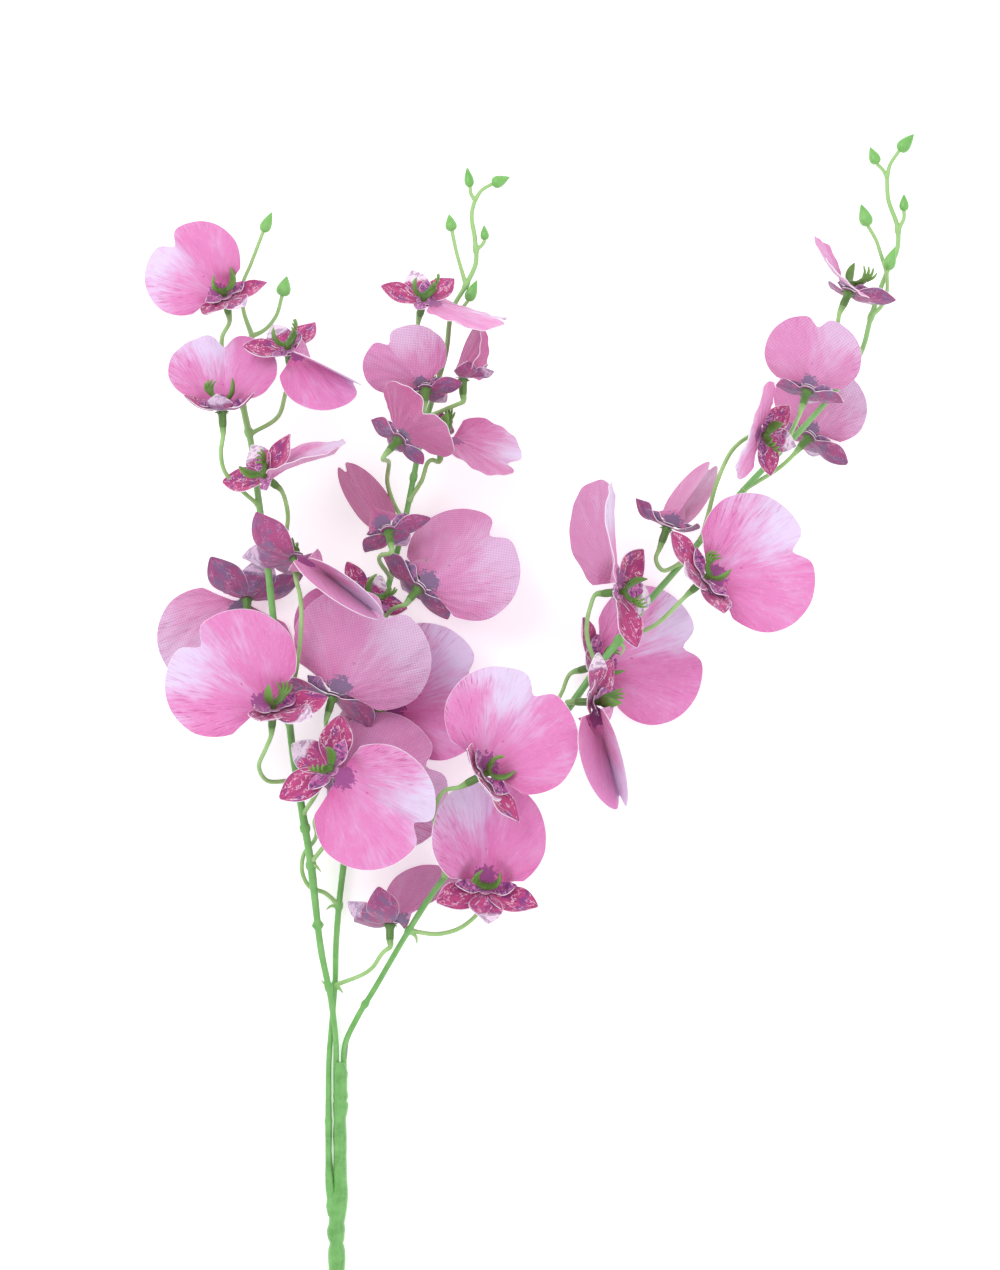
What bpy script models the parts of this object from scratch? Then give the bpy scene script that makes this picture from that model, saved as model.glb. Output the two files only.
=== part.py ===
"""Artificial dancing lady orchid spray, laid down on a flat surface.

Three moulded plastic stems are bound by a wrap at their cut ends. Each stem carries thin stalks
that end in a calyx cap, and a pin that runs from the cap through a cloth bloom into a column.
A bloom is a two-lobed lip with two ears in front of a three-pointed star, joined at a hub.
X runs right and Y runs up in the picture, and Z is the height above the surface.
"""

import math

import bpy
import numpy as np

# Driving dimensions, in metres where no other unit is named
MM = 0.001
PIXEL = 0.5 * MM  # what one pixel of the picture measures on the spray
ORIGIN_PIXEL = (532.5, 776)  # the pixel that lies over the origin
EYE_PIXEL = (500, 635)  # the middle of the picture, which the eye is over
EYE_HEIGHT = 2.4  # from the eye down to MID_HEIGHT
MID_HEIGHT = 40 * MM

CLOTH = 0.8 * MM  # thickness of a cloth blade
SMALL = 0.76  # size of the blooms near a stem's tip, against the large ones
LIP_DISC_CENTRE = 22 * MM
LIP_DISC_RADIUS = 35 * MM
LIP_LOBE_SWELL = 3.2 * MM
LIP_NOTCH_DEPTH = 8.5 * MM
LIP_NOTCH_SPREAD = 5.5  # degrees
LIP_LOBE_END = 76  # degrees from the lip's middle line to where the lobe's swelling ends
LIP_SHOULDER = 78  # degrees from the lip's middle line to its shoulder
LIP_SHOULDER_START = 58  # degrees, where the shoulder begins to draw in
LIP_SHOULDER_CUT = 0.25  # share by which the shoulder draws the rim in
LIP_HEM = 4.8 * MM  # how far in front of the hub the lip's lower edge runs
LIP_ROOT_ANGLE = 40  # degrees, the least half angle of the lip where it leaves the hub
LIP_WAVE = 1.2 * MM
LIP_WAVE_RATE = 5.2  # waves of the rim in a full turn
LIP_FOLD = (12, 12)  # degrees, for the left and the right lobe
LIP_CURL = 8  # degrees that the lip curls over CURL_REACH
CURL_REACH = 50 * MM
FOLD_START = 9 * MM  # from the hub to where the lobes begin to fold
FOLD_FULL = 20 * MM  # and to where the fold is complete
TURN_LENGTH = 8 * MM  # over which the sheet turns from the hub's plane to the lip's
PETAL_ROOT = 2.2 * MM
PETAL_ROOT_SHARE = 0.05  # of the half wave that gives a petal its width, cut off at its root
PETAL_CUP = 0.25  # rise of a petal's edge against its half width
EAR_LENGTH = 15 * MM
EAR_WIDTH = 3.6 * MM
EAR_LIFT = 45  # degrees that an ear bends forward along its length
EAR_ANGLE = 92  # degrees from the lip's middle line to an ear's
LATERAL_LENGTH = 27 * MM
LATERAL_ANGLE = 118
MIDDLE_LENGTH = 24 * MM
SEPAL_WIDTH = 6.8 * MM
SEPAL_LIFT = (25, 25, 25)  # degrees, for the left, the middle and the right sepal
LAYER = 0.7 * MM  # the lip lies this far in front of the hub's middle, and the star behind

HUB_RADIUS = 3.6 * MM
HUB_HALF = 1.6 * MM
HUB_SIDES = 5
CLEARANCE = 0.3 * MM
PIN_RADIUS = 0.8 * MM
CALYX_RADIUS = 2.4 * MM
CALYX_LENGTH = 7 * MM
CALYX_BACK_RADIUS = 1.5 * MM
COLLAR_LENGTH = 4 * MM  # of straight stalk behind the calyx
STALK_RADIUS = 1.15 * MM
COLUMN_RADIUS = 1.8 * MM
COLUMN_LENGTH = 3 * MM
ARM_STEPS = [  # across, along, forward and radius, in mm, from the tongue's tip to the comb's end
    (5.6, -1.2, 11.0, 0.5),
    (4.6, -1.6, 4.5, 1.8),
    (0, 0, 0.3, 1.3),
    (-6.4, -1.6, 8.0, 1.6),
]

WRAP_TOP_PIXEL = 1206
WRAP_BEVEL = 0.5 * MM
WRAP_AXIS_PIXEL = 336.5
CUT_PIXEL = 1410  # the cut ends, 70 mm past the picture's lower edge
WRAP_OUTSIDE = 4.25 * MM
WRAP_INSIDE = 3.6 * MM
WRAP_SIDES = 12
STRAND_RADIUS = 1.45 * MM
STRAND_SPACING = 1.85 * MM  # from the wrap's axis to each strand's axis
TWIST_SPACING = 1.95 * MM
TWIST_FOOT_PIXEL = 1200
TWIST_TOP_PIXEL = 1072
TWIST_SHIFT = 3.5  # pixels from the wrap's axis to the twisted pair's
TWIST_TURN = 90  # degrees that the left and right strands turn round each other
STEM_SIDES = 5
STEM_STEP = 21 * MM
STALK_SIDES = 4
STALK_STEP = 12 * MM
STALK_HEIGHT = 30  # millimetres, at which the lengths between a stalk's places are compared
BUD_STALK_RADIUS = 0.95 * MM
BUD_PROFILE = [(0.05, 0.5), (0.3, 1.0), (0.62, 0.72), (1.0, 0.12)]  # shares of length and width
THORN_RADII = (1.1 * MM, 0.2 * MM)
BORE_RADIUS = 0.85 * MM
BORE_LENGTH = 200 * MM
WIRE_RADIUS = 0.5 * MM
KNOT_HALF = 2.4 * MM  # half the length of a leaf node's swelling
KNOT_SWELL = 1.4
KNOT_CLEAR = 2.2  # no other ring lies within this many half lengths of a node


def clear_scene():
    for thing in list(bpy.data.objects):
        bpy.data.objects.remove(thing, do_unlink=True)


def finish_of(name, colour, roughness, metallic=0.0):
    material = bpy.data.materials.new(name)
    material.use_nodes = True
    shader = material.node_tree.nodes["Principled BSDF"]
    shader.inputs["Base Color"].default_value = (*colour, 1.0)
    shader.inputs["Roughness"].default_value = roughness
    shader.inputs["Metallic"].default_value = metallic
    return material


def add_object(name, points, faces, material):
    mesh = bpy.data.meshes.new(name)
    mesh.from_pydata([tuple(point) for point in points], [], faces)
    mesh.materials.append(material)
    mesh.shade_smooth()
    mesh.set_sharp_from_angle(angle=math.radians(35))
    thing = bpy.data.objects.new(name, mesh)
    bpy.context.scene.collection.objects.link(thing)
    return thing


def fuse(name, pieces, material):
    """One Boolean union of the first piece with all the others, applied."""
    others = bpy.data.collections.new(name + "_pieces")
    bpy.context.scene.collection.children.link(others)
    for piece in pieces[1:]:
        others.objects.link(piece)
    union = pieces[0].modifiers.new("union", "BOOLEAN")
    union.operation = "UNION"
    union.operand_type = "COLLECTION"
    union.collection = others
    union.solver = "MANIFOLD"
    graph = bpy.context.evaluated_depsgraph_get()
    mesh = bpy.data.meshes.new_from_object(pieces[0].evaluated_get(graph))
    mesh.name = name
    mesh.materials.clear()
    mesh.materials.append(material)
    for piece in pieces:
        bpy.data.objects.remove(piece, do_unlink=True)
    bpy.data.collections.remove(others)
    thing = bpy.data.objects.new(name, mesh)
    bpy.context.scene.collection.objects.link(thing)
    return thing


def spot(across, down, height):
    """The place that shows at a pixel of the picture, at a height in millimetres."""
    spread = PIXEL * (1 - (height * MM - MID_HEIGHT) / EYE_HEIGHT)
    eye_x = (EYE_PIXEL[0] - ORIGIN_PIXEL[0]) * PIXEL
    eye_y = (ORIGIN_PIXEL[1] - EYE_PIXEL[1]) * PIXEL
    x = eye_x + (across - EYE_PIXEL[0]) * spread
    y = eye_y + (EYE_PIXEL[1] - down) * spread
    return np.array([x, y, height * MM])


def unit(vector):
    return vector / np.linalg.norm(vector)


def direction(heading, rise):
    """A heading in the picture, in degrees from its right, and a rise out of it."""
    flat = math.cos(math.radians(rise))
    turn = math.radians(heading)
    return np.array([math.cos(turn) * flat, math.sin(turn) * flat, math.sin(math.radians(rise))])


def turned(axis, degrees):
    """The matrix of a turn about an axis, by Rodrigues' formula."""
    x, y, z = axis
    cross = np.array([[0, -z, y], [z, 0, -x], [-y, x, 0]])
    angle = math.radians(degrees)
    return np.eye(3) + math.sin(angle) * cross + (1 - math.cos(angle)) * cross @ cross


# Lines and tubes


def smooth_line(points, count):
    """Places evenly spaced along a smooth curve through the points.

    Each stretch is a cubic whose end slopes weigh the two neighbouring stretches by length.
    """
    points = np.array(points)
    gaps = np.linalg.norm(np.diff(points, axis=0), axis=1)[:, None]
    slopes = np.diff(points, axis=0) / gaps
    inner = (slopes[:-1] * gaps[1:] + slopes[1:] * gaps[:-1]) / (gaps[1:] + gaps[:-1])
    ends = np.vstack([slopes[:1], inner, slopes[-1:]])
    dense = []
    for a, b, out, back, gap in zip(points, points[1:], ends, ends[1:], gaps):
        for t in np.linspace(0, 1, 12, endpoint=False):
            near = (1 + 2 * t) * (1 - t) ** 2
            far = t * t * (3 - 2 * t)
            lean = t * (1 - t) ** 2 * out - t * t * (1 - t) * back
            dense.append(a * near + b * far + lean * gap)
    dense = np.vstack([dense, points[-1]])
    along = np.concatenate([[0], np.cumsum(np.linalg.norm(np.diff(dense, axis=0), axis=1))])
    wanted = np.linspace(0, along[-1], count)
    return np.column_stack([np.interp(wanted, along, dense[:, axis]) for axis in range(3)])


def rings_along(line, radii, sides, phase=0.0):
    """Rings square to the line, carried along it without twist."""
    ahead = np.gradient(line, axis=0)
    ahead /= np.linalg.norm(ahead, axis=1)[:, None]
    least = np.eye(3)[np.argmin(abs(ahead[0]))]
    side = unit(np.cross(ahead[0], least))
    angles = np.linspace(0, 2 * math.pi, sides, endpoint=False) + phase
    rings = []
    for place, tangent, radius in zip(line, ahead, radii):
        side = unit(side - tangent * (side @ tangent))
        over = np.cross(tangent, side)
        ring = place + radius * (np.outer(np.cos(angles), side) + np.outer(np.sin(angles), over))
        rings.append(ring)
    return np.array(rings)


def tube(name, line, radii, sides, material):
    """A closed tube with flat ends."""
    rings = rings_along(line, radii, sides)
    faces = ring_faces(len(rings), sides)
    faces.append(list(range(sides))[::-1])
    faces.append([(len(rings) - 1) * sides + k for k in range(sides)])
    return add_object(name, rings.reshape(-1, 3), faces, material)


def ring_faces(count, sides, start=0):
    faces = []
    for row in range(count - 1):
        for k in range(sides):
            low = start + row * sides
            after = (k + 1) % sides
            faces.append([low + k, low + after, low + sides + after, low + sides + k])
    return faces


def bored_tube(name, line, radii, bore_count, sides, material):
    """A tube with a round bore up from its first ring, closed at the bore's far end."""
    outside = rings_along(line, radii, sides)
    inside = rings_along(line[:bore_count], [BORE_RADIUS] * bore_count, sides)
    count = len(outside)
    faces = ring_faces(count, sides)
    faces.append([(count - 1) * sides + k for k in range(sides)])
    base = count * sides
    for face in ring_faces(bore_count, sides, base):
        faces.append(face[::-1])
    faces.append([base + (bore_count - 1) * sides + k for k in range(sides)][::-1])
    for k in range(sides):
        after = (k + 1) % sides
        faces.append([k, base + k, base + after, after])
    points = np.vstack([outside.reshape(-1, 3), inside.reshape(-1, 3)])
    return add_object(name, points, faces, material)


# Cloth blades


def stitch(low, high, low_start, high_start):
    """Triangles between two rows of points, each point given by its place across."""
    i = 0
    j = 0
    triangles = []
    while i < len(low) - 1 or j < len(high) - 1:
        step_low = low[i + 1] if i < len(low) - 1 else math.inf
        step_high = high[j + 1] if j < len(high) - 1 else math.inf
        if step_low < step_high:
            triangles.append([low_start + i, low_start + i + 1, high_start + j])
            i += 1
        else:
            triangles.append([low_start + i, high_start + j + 1, high_start + j])
            j += 1
    return triangles


def blade(name, surface, rows, material):
    """A sheet of one thickness. Each row is (v, [u, ...]), and both faces split alike."""
    across = np.concatenate([np.array(us, float) for _, us in rows])
    along = np.concatenate([np.full(len(us), float(v)) for v, us in rows])
    points = surface(across, along)
    step = 1e-3
    over = surface(across + step, along) - surface(across - step, along)
    ahead = surface(across, along + step) - surface(across, along - step)
    tip = np.linalg.norm(over, axis=1) < 1e-9
    over[tip] = over[~tip][-1]
    normals = np.cross(over, ahead)
    normals /= np.linalg.norm(normals, axis=1)[:, None]
    starts = np.concatenate([[0], np.cumsum([len(us) for _, us in rows])])
    triangles = []
    for row in range(len(rows) - 1):
        triangles += stitch(rows[row][1], rows[row + 1][1], starts[row], starts[row + 1])
    edge = list(range(starts[0], starts[1]))
    edge += [starts[row + 1] - 1 for row in range(1, len(rows) - 1)]
    edge += list(range(starts[-2], starts[-1]))[::-1]
    edge += [starts[row] for row in range(len(rows) - 2, 0, -1)]
    count = len(points)
    faces = [list(face) for face in triangles]
    faces += [[c + count, b + count, a + count] for a, b, c in triangles]
    for a, b in zip(edge, edge[1:] + edge[:1]):
        faces.append([a, a + count, b + count])
        faces.append([a, b + count, b])
    both = np.vstack([points + normals * CLOTH / 2, points - normals * CLOTH / 2])
    return add_object(name, both, faces, material)


def smooth_step(value):
    value = np.clip(value, 0, 1)
    return value * value * (3 - 2 * value)


def lip_rim(angle):
    """Distance from the hub to the lip's rim: a disc with two lobes, a notch and shoulders."""
    across = np.radians(angle)
    disc = LIP_DISC_CENTRE * np.cos(across)
    disc = disc + np.sqrt(LIP_DISC_RADIUS**2 - (LIP_DISC_CENTRE * np.sin(across)) ** 2)
    share = np.minimum(abs(angle), LIP_LOBE_END) / LIP_LOBE_END
    lobes = LIP_LOBE_SWELL * np.sin(np.pi * share) ** 2
    notch = LIP_NOTCH_DEPTH * np.exp(-((angle / LIP_NOTCH_SPREAD) ** 2))
    past = (abs(angle) - LIP_SHOULDER_START) / (LIP_SHOULDER - LIP_SHOULDER_START)
    shoulder = 1 - LIP_SHOULDER_CUT * np.clip(past, 0, 1) ** 2
    return (disc + lobes - notch) * shoulder


def bloom_axes(bloom):
    """The lip's and the hub's axes as matrices, whose columns are across, along and facing.

    The hub's are the lip's after the shortest turn that brings its facing onto the pin.
    """
    heading, rise, roll = bloom["lip"]
    along = direction(heading, rise)
    facing = direction(heading, rise + 90)
    across = np.cross(along, facing)
    facing = facing * math.cos(math.radians(roll)) + across * math.sin(math.radians(roll))
    lip = np.column_stack([np.cross(along, facing), along, facing])
    pin = direction(*bloom["pin"])
    axis = np.cross(facing, pin)
    swing = math.degrees(math.atan2(np.linalg.norm(axis), facing @ pin))
    axis = unit(axis + 1e-9)
    return lip, turned(axis, swing) @ lip, axis, swing


def star_axes(bloom):
    """The hub's axes, turned about the pin to where the star and the column point."""
    _, hub, _, _ = bloom_axes(bloom)
    return turned(hub[:, 2], bloom.get("star_turn", 0)) @ hub


def lip_surface(bloom):
    """Point of the lip for u across, from -1 to 1, and v from the hub, 0, to the rim, 1.

    The sheet leaves the hub in the hub's plane and turns to the lip's over TURN_LENGTH. Each
    lobe folds about the middle line, the tip curls, and the rim waves.
    """
    lip, _, axis, swing = bloom_axes(bloom)
    size = bloom["size"]
    radii = np.linspace(0, TURN_LENGTH, 17)
    turns = swing * (1 - smooth_step(radii / TURN_LENGTH))
    frames = np.array([turned(axis, turn) @ lip for turn in turns])
    steps = (frames[1:] + frames[:-1]) / 2 * (radii[1] - radii[0])
    reach = np.concatenate([np.zeros((1, 3, 3)), np.cumsum(steps, axis=0)])
    drift = reach - radii[:, None, None] * lip
    left, right = bloom.get("fold", LIP_FOLD)
    curl = math.radians(LIP_CURL) / (CURL_REACH * size)

    def point(u, v):
        rim = lip_rim(LIP_SHOULDER * np.clip(u, -1, 1)) * size
        r = PETAL_ROOT + (rim - PETAL_ROOT) * v
        hem = np.degrees(np.arccos(np.clip(LIP_HEM * size / r, -1, 1)))
        half = np.minimum(LIP_SHOULDER, np.maximum(hem, LIP_ROOT_ANGLE))
        angle = np.radians(half * u)
        x = r * np.sin(angle)
        y = r * np.cos(angle)
        fade = smooth_step((r / size - FOLD_START) / (FOLD_FULL - FOLD_START))
        fold = np.radians(np.where(u < 0, left, right)) * fade
        z = abs(x) * np.sin(fold) + LIP_WAVE * size * v**2 * np.cos(LIP_WAVE_RATE * angle)
        x = x * np.cos(fold)
        y, z = (1 / curl - z) * np.sin(curl * y), 1 / curl - (1 / curl - z) * np.cos(curl * y)
        local = np.stack([x, y, z + LAYER], axis=-1)
        turn = np.stack([np.sin(angle), np.cos(angle), 0 * angle], axis=-1)
        flat = np.minimum(r, TURN_LENGTH)
        shift = np.stack(
            [np.interp(flat, radii, drift[:, i, j]) for i in range(3) for j in range(3)], axis=-1
        ).reshape(*np.shape(r), 3, 3)
        return bloom["place"] + local @ lip.T + np.einsum("...ij,...j->...i", shift, turn)

    return point


def petal_surface(bloom, hub, angle, length, width, lift, layer):
    """Point of an ear or sepal: u across and v along, in the hub's plane and rising forward."""
    size = bloom["size"]
    turn = math.radians(angle)
    outward = hub @ np.array([math.sin(turn), math.cos(turn), 0])
    beside = hub @ np.array([math.cos(turn), -math.sin(turn), 0])
    facing = hub[:, 2]
    length = length * size
    bend = math.radians(lift) / length

    def point(u, v):
        along = (length - PETAL_ROOT) * v
        share = PETAL_ROOT_SHARE + (1 - PETAL_ROOT_SHARE) * v
        half = width * size * np.sin(np.pi * np.clip(share, 0, 1))
        out = PETAL_ROOT + np.sin(bend * along) / bend
        cup = PETAL_CUP * half * u**2 * smooth_step(v * 4)
        rise = layer + (1 - np.cos(bend * along)) / bend + cup
        parts = np.outer(out, outward) + np.outer(half * u, beside) + np.outer(rise, facing)
        return bloom["place"] + parts

    return point


LIP_ROWS = [
    (0.0, [-1, 1]),
    (0.08, [-1, 1]),
    (0.28, [-1, 0, 1]),
    (0.64, [-1, -0.6, 0, 0.6, 1]),
    (1.0, [-1, -0.8, -0.5, -0.16, 0, 0.16, 0.5, 0.8, 1]),
]
SEPAL_ROWS = [(0.0, [-1, 1]), (0.34, [-1, 1]), (0.72, [-1, 1]), (1.0, [0])]
EAR_ROWS = [(0.0, [-1, 1]), (0.45, [-1, 1]), (1.0, [0])]


def hub_ring(name, bloom, material):
    """The short collar where the cloth sheets meet, with the pin's hole through it."""
    _, hub, _, _ = bloom_axes(bloom)
    angles = np.linspace(0, 2 * math.pi, HUB_SIDES, endpoint=False)
    circle = np.outer(np.cos(angles), hub[:, 0]) + np.outer(np.sin(angles), hub[:, 1])
    hole = PIN_RADIUS + CLEARANCE
    rings = [
        bloom["place"] + radius * circle + height * hub[:, 2]
        for radius, height in (
            (HUB_RADIUS, -HUB_HALF),
            (HUB_RADIUS, HUB_HALF),
            (hole, HUB_HALF),
            (hole, -HUB_HALF),
        )
    ]
    faces = ring_faces(4, HUB_SIDES)
    last = 3 * HUB_SIDES
    for k in range(HUB_SIDES):
        after = (k + 1) % HUB_SIDES
        faces.append([last + k, last + after, after, k])
    return add_object(name, np.vstack(rings), faces, material)


def bloom_blades(bloom):
    """The surface and rows of each blade of a bloom."""
    left, middle, right = bloom.get("star", SEPAL_LIFT)
    grown = bloom.get("sepals", 1.0)
    _, hub, _, _ = bloom_axes(bloom)
    star = star_axes(bloom)
    yield "lip", lip_surface(bloom), LIP_ROWS
    for side in (-1, 1):
        ear = petal_surface(bloom, hub, side * EAR_ANGLE, EAR_LENGTH, EAR_WIDTH, EAR_LIFT, LAYER)
        yield f"ear{side}", ear, EAR_ROWS
    for angle, length, lift in (
        (-LATERAL_ANGLE, LATERAL_LENGTH, left),
        (180, MIDDLE_LENGTH, middle),
        (LATERAL_ANGLE, LATERAL_LENGTH, right),
    ):
        wide = SEPAL_WIDTH * grown
        sepal = petal_surface(bloom, star, angle, length * grown, wide, lift, -LAYER)
        yield f"sepal{angle}", sepal, SEPAL_ROWS


def settle(bloom):
    """Gives the bloom its place. One marked down is lowered until its lowest edge rests."""
    across, down, height = bloom["hub"]
    bloom["place"] = spot(across, down, height)
    if not bloom.get("down"):
        return
    lowest = math.inf
    for _, surface, rows in bloom_blades(bloom):
        for v, us in rows:
            lowest = min(lowest, surface(np.array(us, float), np.full(len(us), v))[:, 2].min())
    bloom["place"] = spot(across, down, height - lowest / MM + CLOTH / 2 / MM)


def add_bloom(name, bloom, material):
    pieces = [hub_ring(name + "_hub", bloom, material)]
    for label, surface, rows in bloom_blades(bloom):
        pieces.append(blade(f"{name}_{label}", surface, rows, material))
    return fuse(name, pieces, material)


# Stalks, columns and buds


def via_places(bloom, root, collar):
    """The stalk's places between its two ends. One with no height takes it from its share."""
    points = bloom["via"][::-1]
    between = [spot(*point[:2], STALK_HEIGHT)[:2] for point in points]
    flat = [root[:2], *between, collar[:2]]
    run = np.concatenate([[0], np.cumsum(np.linalg.norm(np.diff(flat, axis=0), axis=1))])
    share = smooth_step(run / run[-1])
    places = []
    for point, part in zip(points, share[1:]):
        height = (root[2] + (collar[2] - root[2]) * part) / MM
        places.append(spot(*point[:2], point[2] if len(point) > 2 else height))
    return places


def stalk_pieces(name, bloom, stem_line, material):
    """The stalk from its stem to the calyx, the pin, and the column with tongue and comb."""
    _, hub, _, _ = bloom_axes(bloom)
    pin = hub[:, 2]
    place = bloom["place"]
    root = stem_line[nearest_index(stem_line, bloom["root"])]
    cap_back = place - pin * (HUB_HALF + CLEARANCE + CALYX_LENGTH)
    collar = cap_back - pin * COLLAR_LENGTH
    legs = [root, *via_places(bloom, root, collar), collar, cap_back]
    length = sum(np.linalg.norm(b - a) for a, b in zip(legs, legs[1:]))
    line = smooth_line(legs, max(4, round(length / STALK_STEP)))
    radii = [STALK_RADIUS] * (len(line) - 1) + [CALYX_BACK_RADIUS]
    front = HUB_HALF + CLEARANCE
    profile = [
        (-front - CALYX_LENGTH * 0.7, CALYX_RADIUS * 0.92),
        (-front, CALYX_RADIUS),
        (-front + 0.02 * MM, PIN_RADIUS),
        (front - 0.02 * MM, PIN_RADIUS),
        (front, COLUMN_RADIUS),
        (front + COLUMN_LENGTH, COLUMN_RADIUS * 0.8),
    ]
    line = np.vstack([line, [place + pin * height for height, _ in profile]])
    radii = radii + [radius for _, radius in profile]
    pieces = [tube(name + "_stalk", line, radii, STALK_SIDES, material)]
    star = star_axes(bloom)
    head = place + pin * (front + COLUMN_LENGTH * 0.5)
    scale = bloom.get("arms", 1.0) * MM
    arms = np.array([head + star @ (np.array(step[:3]) * scale) for step in ARM_STEPS])
    arm_radii = [step[3] * scale for step in ARM_STEPS]
    pieces.append(tube(name + "_arms", arms, arm_radii, 3, material))
    return pieces


def nearest_index(line, pixel):
    """Which place on a stem's line lies nearest to a pixel of the picture."""
    away = [np.linalg.norm(spot(*pixel, place[2] / MM)[:2] - place[:2]) for place in line]
    return int(np.argmin(away))


def bud(name, stalk, tip, width, material):
    """A bud's thin stalk through its points and the pointed bud on the last of them."""
    line = smooth_line([spot(*point) for point in stalk], 1 + len(stalk))
    base = line[-1]
    end = spot(*tip)
    radii = [BUD_STALK_RADIUS] * len(line) + [width * PIXEL / 2 * part for _, part in BUD_PROFILE]
    line = np.vstack([line, [base + (end - base) * share for share, _ in BUD_PROFILE]])
    return tube(name, line, radii, STALK_SIDES, material)


def thorn(name, base, tip, material):
    line = smooth_line([spot(*base), spot(*tip)], 2)
    return tube(name, line, THORN_RADII, 3, material)


# Stems


def bundle_line(angle, last_angle):
    """A strand's places in the wrap and, for a pair, in the twist above it, from the cut end.

    Each strand stands off the bundle's axis at its own angle. Above the wrap the left and
    right strands swing until they are opposite each other, and turn round their own axis.
    """
    height = WRAP_OUTSIDE * math.cos(math.pi / WRAP_SIDES) / MM
    places = []
    for down in np.arange(CUT_PIXEL, TWIST_TOP_PIXEL, -16):
        share = smooth_step((TWIST_FOOT_PIXEL + 8 - down) / 40)
        risen = (TWIST_FOOT_PIXEL - down) / (TWIST_FOOT_PIXEL - TWIST_TOP_PIXEL)
        now = math.radians(angle + (last_angle - angle) * share + TWIST_TURN * np.clip(risen, 0, 1))
        off = (STRAND_SPACING + (TWIST_SPACING - STRAND_SPACING) * share) / MM
        across = WRAP_AXIS_PIXEL + TWIST_SHIFT * share + off * math.cos(now) * MM / PIXEL
        places.append((across, down, height + off * math.sin(now)))
    return places


MIDDLE_STRAND = [
    (333.3, 1410, 3.2),
    (333.3, 1310, 3.2),
    (333.3, 1215, 3.2),
    (332.4, 1190, 3.4),
    (329, 1155, 4),
    (328.5, 1100, 4),
]

STEMS = {
    "left": {
        "route": bundle_line(90, 90)
        + [
            (336, 1045, 6),
            (331, 1000, 11),
            (321, 950, 14),
            (315, 900, 18),
            (311, 865, 21),
            (302, 810, 26),
            (292, 745, 31),
            (286, 690, 34),
            (274, 622, 37),
            (267, 560, 39),
            (259, 503, 40),
            (251, 443, 40),
            (243, 400, 40),
            (245, 370, 39),
            (252, 336, 37),
        ],
        "radii": (1.45, 2.0, 1.55),
        "nodes": [(318, 925), (311, 865), (267, 560)],
        "buds": [
            (
                [(252, 336, 37), (243, 308, 36), (243, 283, 35), (250, 266, 34), (263, 232, 34)],
                (272, 212, 34),
                12,
            ),
            ([(252, 336, 37), (263, 331, 36), (276, 316, 35), (282, 296, 34)], (287, 276, 34), 15),
        ],
        "thorns": [((330, 988, 11), (321, 984, 12)), ((262, 541, 40), (255, 531, 41))],
    },
    "middle": {
        "route": MIDDLE_STRAND
        + [
            (329, 1060, 4),
            (333, 1010, 4.5),
            (335, 985, 5),
            (336, 945, 6),
            (339, 905, 7),
            (344, 862, 6),
            (352, 800, 5),
            (362, 724, 6),
            (374, 660, 10),
            (385, 600, 14),
            (395, 560, 18),
            (405, 520, 22),
            (414, 475, 26),
            (422, 435, 29),
            (436, 388, 32),
            (446, 352, 33),
            (453, 308, 34),
            (466, 285, 34),
            (476, 262, 33),
            (475, 240, 33),
            (472, 212, 32),
            (475, 200, 32),
        ],
        "radii": (1.45, 1.9, 1.1),
        "nodes": [(335, 985), (339, 905), (393, 560), (466, 285), (477, 249)],
        "buds": [
            ([(466, 285, 34), (463, 275, 34), (456, 250, 34), (452, 231, 34)], (449, 214, 34), 12),
            ([(453, 306, 34), (461, 308, 35), (468, 301, 35)], (477, 280, 36), 12),
            ([(477, 249, 33), (482, 245, 33), (485, 240, 33)], (484, 225, 33), 9),
            ([(475, 200, 32), (471, 194, 32), (470, 187, 32)], (467, 167, 32), 10),
            ([(475, 200, 32), (482, 190, 32), (492, 184, 32)], (510, 177, 32), 13),
        ],
        "thorns": [((338, 907, 7), (326, 910, 9))],
    },
    "right": {
        "route": bundle_line(330, 270)
        + [
            (345, 1045, 5),
            (357, 1018, 8),
            (375, 988, 13),
            (397, 950, 22),
            (409, 930, 28),
            (430, 897, 36),
            (460, 857, 39),
            (500, 800, 39),
            (540, 745, 37),
            (573, 702, 34),
            (597, 668, 34),
            (619, 640, 34),
            (645, 606, 35),
            (683, 562, 36),
            (714, 524, 36),
            (748, 485, 36),
            (780, 452, 36),
            (810, 420, 36),
            (842, 382, 35),
            (862, 350, 34),
            (871, 317, 33),
            (887, 272, 31),
            (897, 250, 30),
            (898, 230, 29),
            (888, 198, 28),
            (887, 177, 27),
        ],
        "radii": (1.45, 2.0, 1.1),
        "nodes": [(366, 1005), (409, 930), (597, 668), (871, 317), (898, 229)],
        "buds": [
            ([(887, 272, 31), (882, 258, 31), (876, 240, 31), (868, 226, 31)], (861, 204, 31), 14),
            ([(873, 314, 33), (880, 308, 34), (886, 296, 34), (887, 270, 35)], (895, 247, 36), 13),
            ([(899, 228, 29), (904, 218, 29), (904, 211, 29)], (904, 194, 29), 10),
            ([(887, 177, 27), (883, 170, 27), (877, 164, 27)], (870, 147, 27), 12),
            ([(887, 177, 27), (890, 165, 27), (899, 151, 27)], (914, 134, 27), 14),
        ],
        "thorns": [((411, 932, 28), (417, 944, 29)), ((619, 642, 34), (620, 656, 36))],
    },
}

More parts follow.
